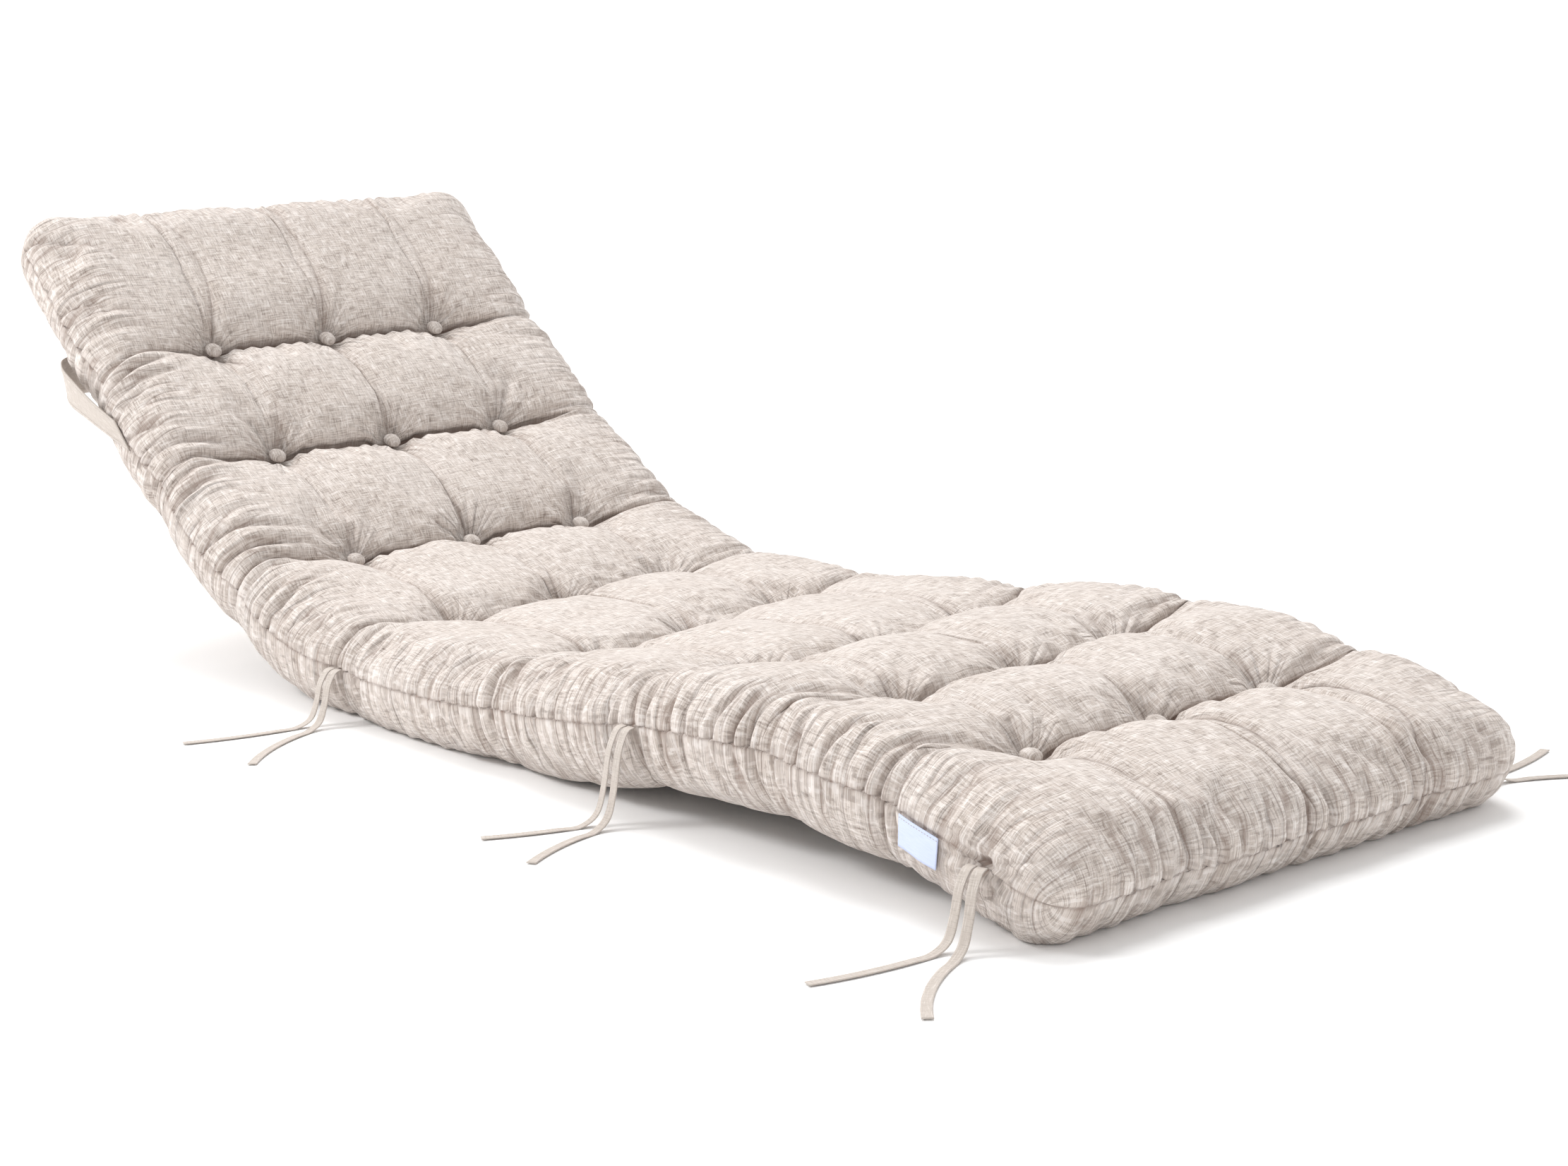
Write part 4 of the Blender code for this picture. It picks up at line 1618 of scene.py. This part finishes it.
    def wrinkle_guides(
        self, folds: Folds, along: np.ndarray, across: np.ndarray
    ) -> dict[str, np.ndarray]:
        """Works out where the fine wrinkles lie.

        Args:
            folds: The cushion's folds.
            along: Distances along of the grid's points.
            across: Their distances from the middle line.

        Returns:
            What the linen reads at each point, by name: how strong the wrinkles are at the side
            seams, at the end seams and round the tufts; the place as seen from the nearest tuft,
            with its number as the third part; and the distances to the creases' bottoms, with
            how sharp each crease is there.
        """
        form = self.form
        to_side = folds.developed(np.clip(form.width / 2 - np.abs(across), 0, 1), form.crest_face)
        to_end = np.minimum(along, form.length - along)
        to_end = folds.developed(np.clip(to_end, 0, 1), form.crest_face)
        side_hold = 1 - smooth(to_side, 0.035, 0.125)
        end_hold = (1 - smooth(to_end, 0.030, 0.100)) * (1 - side_hold)
        tufts = np.array(form.tufts())
        away = np.stack([np.hypot(along - s, across - c) for s, c in tufts])
        nearest = np.argmin(away, axis=0)
        dx, dy = along - tufts[nearest, 0], across - tufts[nearest, 1]
        from_tuft = away.min(axis=0)
        star_hold = smooth(from_tuft, 0.006, 0.016) * (1 - smooth(from_tuft, 0.020, 0.068))
        column_gap, column_hold = folds.column_lines(along, across)
        return {
            "side_hold": side_hold,
            "end_hold": end_hold,
            "star_hold": star_hold,
            "tuft": np.stack([dx, dy, nearest * 3.7], axis=-1),
            "row_gap": np.min(np.abs(form.row_lines(across) - along), axis=0),
            "row_hold": 1 - 0.6 * form.fading(along, across),
            "column_gap": column_gap,
            "column_hold": column_hold * smooth(from_tuft, 0.006, 0.012)[..., None],
        }

    def fold_depth(
        self, folds: Folds, along: np.ndarray, across: np.ndarray, panel: Panel
    ) -> np.ndarray:
        """Adds up the small folds of one panel.

        Args:
            folds: The cushion's folds.
            along: Distances along the cushion.
            across: Distances from the middle line.
            panel: The panel.

        Returns:
            How far they press in, in metres.
        """
        depth = folds.stars(along, across, panel) + folds.column_folds(along, across, panel)
        depth = depth + folds.row_folds(along, across, panel) + folds.tie_gathers(along, across, panel)
        for side in Side:
            depth = depth + folds.side_pleats(along, across, side, panel)
        for head in (True, False):
            depth = depth + folds.end_pleats(along, across, head, panel)
        return depth

    def settle(self, along: np.ndarray, across: np.ndarray) -> dict[Panel, np.ndarray]:
        """Runs the simulation on every second line of the grid.

        Args:
            along: Distances along the cushion.
            across: Distances from the middle line.

        Returns:
            How far it moves each point of the fine grid.
        """
        form = self.form
        rows = self.coarse(along.shape[0])
        columns = self.coarse(along.shape[1])
        plan = along[np.ix_(rows, columns)], across[np.ix_(rows, columns)]
        base = {panel: form.surface(*plan, panel) for panel in Panel}
        lines = form.row_lines(plan[1])
        from_line = np.min(np.abs(lines - plan[0]), axis=0)
        away = np.min([np.hypot(plan[0] - s, plan[1] - c) for s, c in form.tufts()], axis=0)
        inset = form.inset(*plan)
        grip: dict[Panel, np.ndarray] = {}
        for panel in Panel:
            crease = (1 - smooth(from_line, 0.001, 0.007)) * (1 - 0.8 * form.fading(*plan))
            crease = crease * (0.9 if panel is Panel.FACE else 0.3)
            held = np.maximum(crease, 1 - smooth(away, 0.014, 0.024))
            held = np.maximum(held, 1 - smooth(inset, 0.0002, 0.0012))
            floor = 1 - smooth(base[panel][..., 2], 0.001, 0.004)
            grip[panel] = np.maximum(held, floor if panel is Panel.BACK else 0.0)
        shift = self.simulated(base, grip)
        fine_rows = np.interp(np.arange(along.shape[0]), rows, np.arange(len(rows)))
        fine_columns = np.interp(np.arange(along.shape[1]), columns, np.arange(len(columns)))
        return {panel: self.refined(shift[panel], fine_rows, fine_columns) for panel in Panel}

    def coarse(self, count: int) -> np.ndarray:
        """Returns the numbers of the grid lines that the simulation keeps, the last one among them."""
        chosen = np.arange(0, count, self.simulation_stride)
        return chosen if chosen[-1] == count - 1 else np.append(chosen, count - 1)


@dataclass
class CoveredButtons:
    """The covered buttons, one drawn down into each tuft of the face."""

    form: CushionForm
    radius: float = 0.0097
    height: float = 0.0082
    gap: float = 0.0032
    gathers: int = 14

    def build(self, finish: bpy.types.Material) -> bpy.types.Object:
        """Makes all the buttons as one piece and dresses it.

        Args:
            finish: The button linen.

        Returns:
            The buttons.
        """
        places, facing = [], []
        for station, column in self.form.tufts():
            _, out = self.form.directions(station)
            height = np.array(self.form.tuft + self.gap)
            places.append(self.form.placed(np.array(station), np.array(column), height))
            facing.append(out)
        mesh = bpy.data.meshes.new("button_places")
        mesh.from_pydata([tuple(p) for p in places], [], [])
        layer = mesh.attributes.new("facing", "FLOAT_VECTOR", "POINT")
        layer.data.foreach_set("vector", np.array(facing, np.float32).ravel())
        grown = GrowingTree(
            "covered_button",
            {"Radius": self.radius, "Height": self.height, "Gathers": self.gathers},
        )
        start = grown.start.outputs
        ball = grown.node("GeometryNodeMeshUVSphere", {}, {"Segments": 42, "Rings": 14, "Radius": 1.0})
        place = grown.node("GeometryNodeInputPosition", {}, {})
        split = grown.node("ShaderNodeSeparateXYZ", {}, {0: place.outputs[0]})
        number = grown.number
        angle = number("ARCTAN2", split.outputs[1], split.outputs[0])
        ripple = number("COSINE", number("MULTIPLY", angle, start["Gathers"]))
        edge = number("SUBTRACT", 1.0, number("ABSOLUTE", number("SUBTRACT", split.outputs[2], -0.1)))
        gathered = number("MULTIPLY", number("MULTIPLY", ripple, 0.035), number("POWER", edge, 2.0))
        spread = number("MULTIPLY", start["Radius"], number("ADD", 1.0, gathered))
        lift = number("MAXIMUM", split.outputs[2], -0.35)
        rise = number("MULTIPLY", number("DIVIDE", number("ADD", lift, 0.35), 1.35), start["Height"])
        shaped = grown.node(
            "ShaderNodeCombineXYZ",
            {},
            {
                "X": number("MULTIPLY", split.outputs[0], spread),
                "Y": number("MULTIPLY", split.outputs[1], spread),
                "Z": rise,
            },
        )
        dome = grown.node(
            "GeometryNodeSetPosition", {}, {0: ball.outputs[0], "Position": shaped.outputs[0]}
        )
        attribute = grown.node(
            "GeometryNodeInputNamedAttribute", {"data_type": "FLOAT_VECTOR"}, {"Name": "facing"}
        )
        turned = grown.node(
            "FunctionNodeAlignRotationToVector", {"axis": "Z"}, {"Vector": attribute.outputs[0]}
        )
        copies = grown.node(
            "GeometryNodeInstanceOnPoints",
            {},
            {"Points": start[0], "Instance": dome.outputs[0], "Rotation": turned.outputs[0]},
        )
        grown.finish(copies.outputs[0], finish)
        mesh = grown.run(mesh)
        points = np.empty(len(mesh.vertices) * 3, np.float32)
        mesh.vertices.foreach_get("co", points)
        points = points.reshape(-1, 3)
        while mesh.uv_layers:
            mesh.uv_layers.remove(mesh.uv_layers[0])
        mapped(mesh, points[:, [1, 0]] * 1.3)
        made = dressed("covered_buttons", mesh, finish)
        names = [f"button_{row}_{place}" for row in range(1, 9) for place in ("near", "middle", "far")]
        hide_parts(*names)
        LOG.info("covered buttons: %d", len(places))
        return made


def band_mesh(
    name: str,
    middle: np.ndarray,
    rulings: np.ndarray,
    width: float,
    thickness: float,
    hem: float = 0.0,
    columns: int = 7,
) -> bpy.types.Mesh:
    """Makes a flat band of cloth with a wall, laid along its middle line.

    Args:
        name: The mesh's name.
        middle: The middle line.
        rulings: The unit direction across the band at each point.
        width: The band's width.
        thickness: The cloth's thickness.
        hem: How much thicker the folded edges are.
        columns: How many points lie across the band.

    Returns:
        The closed mesh, with its map.
    """
    run = np.gradient(middle, axis=0)
    normal = unit(np.cross(run, rulings))
    shares = np.linspace(-0.5, 0.5, columns)
    distance = np.concatenate(([0.0], np.cumsum(np.linalg.norm(np.diff(middle, axis=0), axis=1))))
    edge = smooth(np.abs(shares), 0.34, 0.40)
    loops, places = [], []
    for face in (1, -1):
        order = range(columns) if face > 0 else range(columns - 1, -1, -1)
        for j in order:
            half = (thickness / 2 + hem * edge[j]) * face
            if j in (0, columns - 1):
                half *= 0.55
            loops.append(middle + width * shares[j] * rulings + half * normal)
            over = np.full(len(middle), width * shares[j] + 0.06 * face)
            places.append(np.stack([over, distance], axis=1))
    ring = len(loops)
    points = np.stack(loops, axis=1).reshape(-1, 3)
    place = np.stack(places, axis=1).reshape(-1, 2)
    rows = len(middle)
    quads = []
    for i in range(rows - 1):
        for j in range(ring):
            here, there = i * ring, (i + 1) * ring
            onward = (j + 1) % ring
            quads.append((here + j, here + onward, there + onward, there + j))
    ends = [tuple(range(ring))[::-1], tuple((rows - 1) * ring + j for j in range(ring))]
    mesh = bpy.data.meshes.new(name)
    mesh.from_pydata(points.tolist(), [], quads + ends)
    mapped(mesh, place)
    bm = bmesh.new()
    bm.from_mesh(mesh)
    bmesh.ops.recalc_face_normals(bm, faces=bm.faces)
    bm.to_mesh(mesh)
    bm.free()
    return mesh


@dataclass(frozen=True)
class StrapPoint:
    """A point of the strap's middle line, from its start at the near seam, and the strap's turn there."""

    back: float
    across: float
    up: float
    degrees: float


@dataclass
class Strap:
    """The strap across the back, sewn into both side seams and hanging a little slack."""

    form: CushionForm
    width: float = 0.045
    thickness: float = 0.002
    hem: float = 0.0004
    stitch_offset: float = 0.0175
    along: float = 0.322
    steps: int = 150
    turn_blend: int = 21
    route: tuple[StrapPoint, ...] = (
        StrapPoint(0.000, -0.3022, 0.000, -42.0),
        StrapPoint(0.045, -0.3035, 0.014, -50.0),
        StrapPoint(0.095, -0.3020, 0.030, -66.0),
        StrapPoint(0.140, -0.2960, 0.042, -86.0),
        StrapPoint(0.174, -0.2740, 0.047, -100.0),
        StrapPoint(0.196, -0.2250, 0.046, -108.0),
        StrapPoint(0.206, -0.1200, 0.040, -110.0),
        StrapPoint(0.210, 0.0000, 0.036, -110.0),
    )

    def lines(self) -> tuple[np.ndarray, np.ndarray]:
        """Lays out the strap.

        Returns:
            Its middle line and the direction across it at each point.
        """
        start = self.form.placed(np.array(self.along), np.array(0.0), np.array(0.0))
        half = [(start[0] - p.back, p.across, start[2] + p.up) for p in self.route]
        whole = half + [(x, -y, z) for x, y, z in reversed(half[:-1])]
        middle = smooth_route(whole, self.steps + 1)
        degrees = [p.degrees for p in self.route]
        turns = np.radians(degrees + degrees[-2::-1])
        shares = np.linspace(0, 1, len(turns))
        turn = np.interp(np.linspace(0, 1, self.steps + 1), shares, turns)
        window = np.hanning(self.turn_blend)
        window /= window.sum()
        padded = np.pad(turn, self.turn_blend // 2, mode="edge")
        turn = np.convolve(padded, window, mode="valid")
        return middle, np.stack([np.cos(turn), 0 * turn, np.sin(turn)], axis=1)

    def build(self, finish: bpy.types.Material, thread: bpy.types.Material) -> None:
        """Makes the strap and its stitching, and dresses them.

        Args:
            finish: The strap's cloth.
            thread: The stitching's material.
        """
        middle, rulings = self.lines()
        mesh = band_mesh(
            "back_strap", middle, rulings, self.width, self.thickness * 0.8, self.hem, columns=13
        )
        made = dressed("back_strap", mesh, finish)
        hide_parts("strap")
        run = np.linalg.norm(np.diff(middle, axis=0), axis=1).sum()
        normal = unit(np.cross(np.gradient(middle, axis=0), rulings))
        rows = [
            middle + across * rulings + face * (self.thickness * 0.4 + self.hem) * normal
            for across in (-self.stitch_offset, self.stitch_offset)
            for face in (1, -1)
        ]
        inner = [row[2:-2] for row in rows]
        stitches = StitchRow(pitch=0.0044, length=0.0031, thickness=0.0008).build(inner, thread)
        sewn = dressed("strap_stitching", stitches, thread)
        LOG.info("back strap: %.3f m long", run)


@dataclass
class BlankLabel:
    """The blank label, sewn into the near seam by its upper edge."""

    form: CushionForm
    width: float = 0.048
    drop: float = 0.028
    thickness: float = 0.0008
    along: float = 1.612
    gap: float = 0.0032
    tuck: float = 0.003
    wave: float = 0.0006
    stitch_inset: float = 0.0025
    steps: int = 36

    def build(self, finish: bpy.types.Material, thread: bpy.types.Material) -> None:
        """Makes the label and its row of stitches, and dresses them.

        Args:
            finish: The ribbon.
            thread: The stitching's material.
        """
        middle, rulings = [], []
        for share in np.arange(self.steps + 1) / self.steps:
            edge = self.form.seam_point(self.along + self.width * share, Side.NEAR)
            _, out = self.form.directions(self.along + self.width * share)
            wave = self.wave * math.sin(share * 7.0)
            top = edge + np.array([0.0, -self.gap, 0.0])
            foot = edge - self.drop * out + np.array([0.0, self.tuck - self.gap + wave, 0.0])
            middle.append((top + foot) / 2)
            rulings.append((foot - top) / np.linalg.norm(foot - top))
        middle, rulings = np.array(middle), np.array(rulings)
        mesh = band_mesh(
            "blank_label", middle, rulings, self.drop, self.thickness, 0.00015, columns=11
        )
        made = dressed("blank_label", mesh, finish)
        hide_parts("label")
        outwards = np.array([0.0, -self.thickness / 2 - 0.0003, 0.0])
        top = middle - rulings * (self.drop / 2 - self.stitch_inset) + outwards
        row = StitchRow(pitch=0.0032, length=0.0023, thickness=0.0006)
        stitches = row.build([top[1:-1]], thread)
        sewn = dressed("label_stitching", stitches, thread)
        LOG.info("blank label made")


@dataclass(frozen=True)
class Tie:
    """A tie, sewn into both side seams at its own distances along."""

    name: str
    near_along: float
    far_along: float
    turn: float


@dataclass(frozen=True)
class Tail:
    """One of a tie's two free tails."""

    name: str
    offset: float
    heading: float
    bend: float
    length: float


@dataclass
class Ties:
    """The twelve free tails, which come out of the side seams and lie on the floor."""

    form: CushionForm
    width: float = 0.009
    thickness: float = 0.0012
    spacing: float = 0.0052
    gap: float = 0.004
    clearance: float = 0.0014
    stitch_offset: float = 0.0031
    steps: int = 96
    fall: tuple[tuple[float, float], ...] = (
        (0.0, 1.0),
        (0.008, 0.96),
        (0.016, 0.74),
        (0.021, 0.42),
        (0.029, 0.12),
        (0.045, 0.0),
    )
    ties: tuple[Tie, ...] = (
        Tie("seat", 0.785, 0.760, 6.0),
        Tie("knee", 1.265, 1.185, -4.0),
        Tie("foot", 1.705, 1.705, 10.0),
    )
    tails: tuple[Tail, ...] = (
        Tail("long", 1.0, 5.0, 2.2, 0.20),
        Tail("short", -1.0, -6.0, -1.4, 0.19),
    )

    def route(self, root: np.ndarray, side: Side, heading: float, tail: Tail) -> np.ndarray:
        """Returns a tail's middle line: out of the seam, down, and along the floor.

        Args:
            root: Where the tail leaves the seam.
            side: The cushion's side that it hangs from.
            heading: The direction that it lies in, in degrees from straight out.
            tail: The tail itself.

        Returns:
            Evenly spaced points, as long as the tail.
        """
        fall_height = root[2] - self.clearance
        shape = [(out, self.clearance + up * fall_height) for out, up in self.fall]
        shape += [(0.045 + 0.02 * k, self.clearance) for k in range(1, 10)]
        points = []
        for reach, height in shape:
            swing = math.radians(heading) + tail.bend * max(reach - 0.03, 0.0)
            x = root[0] + reach * math.sin(swing)
            points.append((x, root[1] + side.value * reach * math.cos(swing), height))
        return resampled(smooth_route(points, 400), self.steps + 1, tail.length)

    def build(self, finish: bpy.types.Material, thread: bpy.types.Material) -> None:
        """Makes every tail and its stitching, and dresses them.

        Args:
            finish: The tape.
            thread: The stitching's material.
        """
        for tie in self.ties:
            for side in Side:
                along = tie.near_along if side is Side.NEAR else tie.far_along
                root = self.form.seam_point(along, side) + np.array([0.0, side.value * self.gap, 0.0])
                for tail in self.tails:
                    start = root + np.array([tail.offset * self.spacing, 0.0, 0.0])
                    path = self.route(start, side, tail.heading + tie.turn, tail)
                    name = f"{tie.name}_{side.name.lower()}_{tail.name}"
                    self.tape(name, path, tail, finish, thread)

    def tape(
        self,
        name: str,
        path: np.ndarray,
        tail: Tail,
        finish: bpy.types.Material,
        thread: bpy.types.Material,
    ) -> None:
        """Args:
            name: The tail's full name.
            path: Its middle line.
            tail: Its sizes.
            finish: The tape.
            thread: The stitching's material.
        """
        run = np.gradient(path, axis=0)
        level = unit(np.stack([run[:, 1], -run[:, 0], 0 * run[:, 0]], axis=1))
        mesh = band_mesh(
            f"tape_{name}", path, level, self.width, self.thickness * 0.75, 0.0002, columns=9
        )
        made = dressed(f"tape_{name}", mesh, finish)
        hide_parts(f"tie_{name}")
        normal = unit(np.cross(run, level))
        row = path + self.stitch_offset * level + (self.thickness / 2 + 0.0001) * normal
        mesh = StitchRow(pitch=0.0034, length=0.0024, thickness=0.0005).build([row[1:-1]], thread)
        sewn = dressed(f"tape_stitching_{name}", mesh, thread)
        LOG.info("tape %s: %.2f m", name, tail.length)


@dataclass(frozen=True)
class Lamp:
    """A soft light: a square one of a size in metres, or a sun of a size in radians."""

    name: str
    kind: str
    place: tuple[float, float, float]
    target: tuple[float, float, float]
    size: float
    power: float


@dataclass
class Studio:
    """The pale floor, the soft lights and the camera at the photograph's angle."""

    azimuth: float = 49.53
    elevation: float = 11.69
    roll: float = -1.08
    place: tuple[float, float, float] = (2.1459, -1.6738, 0.6812)
    lens: float = 62.75
    floor_reach: float = 100.0
    rim_width: float = 30.0
    rim_height: float = 21.0
    floor_drop: float = 0.0002
    sky: float = 0.76
    lamps: tuple[Lamp, ...] = (
        Lamp("key", "AREA", (-1.5, -2.4, 2.3), (0.0, 0.0, 0.1), 1.0, 56.0),
        Lamp("top", "SUN", (-1.3, 0.9, 3.2), (0.1, 0.0, 0.1), 0.7, 2.15),
    )

    def build(self) -> None:
        """Makes the floor, lights, world and camera."""
        mesh = bpy.data.meshes.new("studio_floor")
        bm = bmesh.new()
        bmesh.ops.create_circle(bm, cap_ends=True, segments=96, radius=self.floor_reach)
        rim = bmesh.ops.extrude_edge_only(bm, edges=[edge for edge in bm.edges if edge.is_boundary])
        outer = [part for part in rim["geom"] if isinstance(part, bmesh.types.BMVert)]
        wider = 1 + self.rim_width / self.floor_reach
        bmesh.ops.scale(bm, verts=outer, vec=(wider, wider, 1.0))
        bmesh.ops.translate(bm, verts=outer, vec=(0.0, 0.0, self.rim_height))
        bmesh.ops.translate(bm, verts=bm.verts, vec=(0.0, 0.0, -self.floor_drop))
        bm.to_mesh(mesh)
        bm.free()
        mesh.materials.append(FloorFinish().build())
        floor = bpy.data.objects.new("studio_floor", mesh)
        bpy.context.scene.collection.objects.link(floor)
        for lamp in self.lamps:
            self.light(lamp)
        world = bpy.data.worlds.new("studio")
        bpy.context.scene.world = world
        world.use_nodes = True
        sky = world.node_tree.nodes["Background"]
        sky.inputs["Color"].default_value = (1.0, 1.0, 1.0, 1.0)
        sky.inputs["Strength"].default_value = self.sky
        bpy.context.scene.view_settings.view_transform = "Standard"
        self.camera()
        LOG.info("studio made")

    def light(self, lamp: Lamp) -> None:
        """Makes one soft light that faces its target.

        Args:
            lamp: The light's place and strength.
        """
        data = bpy.data.lights.new(lamp.name, lamp.kind)
        if lamp.kind == "SUN":
            data.angle = lamp.size
        else:
            data.size = lamp.size
        data.energy = lamp.power
        made = bpy.data.objects.new(lamp.name, data)
        bpy.context.scene.collection.objects.link(made)
        back = unit(np.array(lamp.place) - np.array(lamp.target))
        right = unit(np.cross([0.0, 1.0, 0.001], back))
        made.matrix_world = pose(right, np.cross(back, right), back, np.array(lamp.place))

    def camera(self) -> None:
        """Makes the camera and hands it to the scene."""
        a, e, r = (math.radians(v) for v in (self.azimuth, self.elevation, self.roll))
        right = np.array([math.cos(a), math.sin(a), 0.0])
        back = np.array([math.sin(a) * math.cos(e), -math.cos(a) * math.cos(e), math.sin(e)])
        up = np.cross(back, right)
        turned = math.cos(r) * right + math.sin(r) * up
        raised = math.cos(r) * up - math.sin(r) * right
        data = bpy.data.cameras.new("camera")
        data.lens = self.lens
        data.sensor_width = 36.0
        data.clip_end = 1000.0
        made = bpy.data.objects.new("camera", data)
        bpy.context.scene.collection.objects.link(made)
        made.matrix_world = pose(turned, raised, back, np.array(self.place))
        bpy.context.scene.camera = made


def pose(right: np.ndarray, up: np.ndarray, back: np.ndarray, place: np.ndarray) -> Matrix:
    """Returns the matrix of an object with these axes at this place."""
    rows = np.stack([right, up, back, place], axis=1)
    return Matrix([*rows.tolist(), [0.0, 0.0, 0.0, 1.0]])


def main() -> None:
    """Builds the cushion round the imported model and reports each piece."""
    logging.basicConfig(level=logging.INFO, format="%(name)s: %(message)s")
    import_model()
    Studio().build()
    form = CushionForm()
    linen = LinenFinish().build()
    tape = TapeFinish().build()
    thread = ThreadFinish().build()
    Cushion(form).build(linen)
    CoveredButtons(form).build(LinenFinish(name="button_linen", base=(0.52, 0.455, 0.41)).build())
    Strap(form).build(tape, thread)
    BlankLabel(form).build(LabelFinish().build(), thread)
    Ties(form).build(tape, thread)


if __name__ == "__main__":
    main()
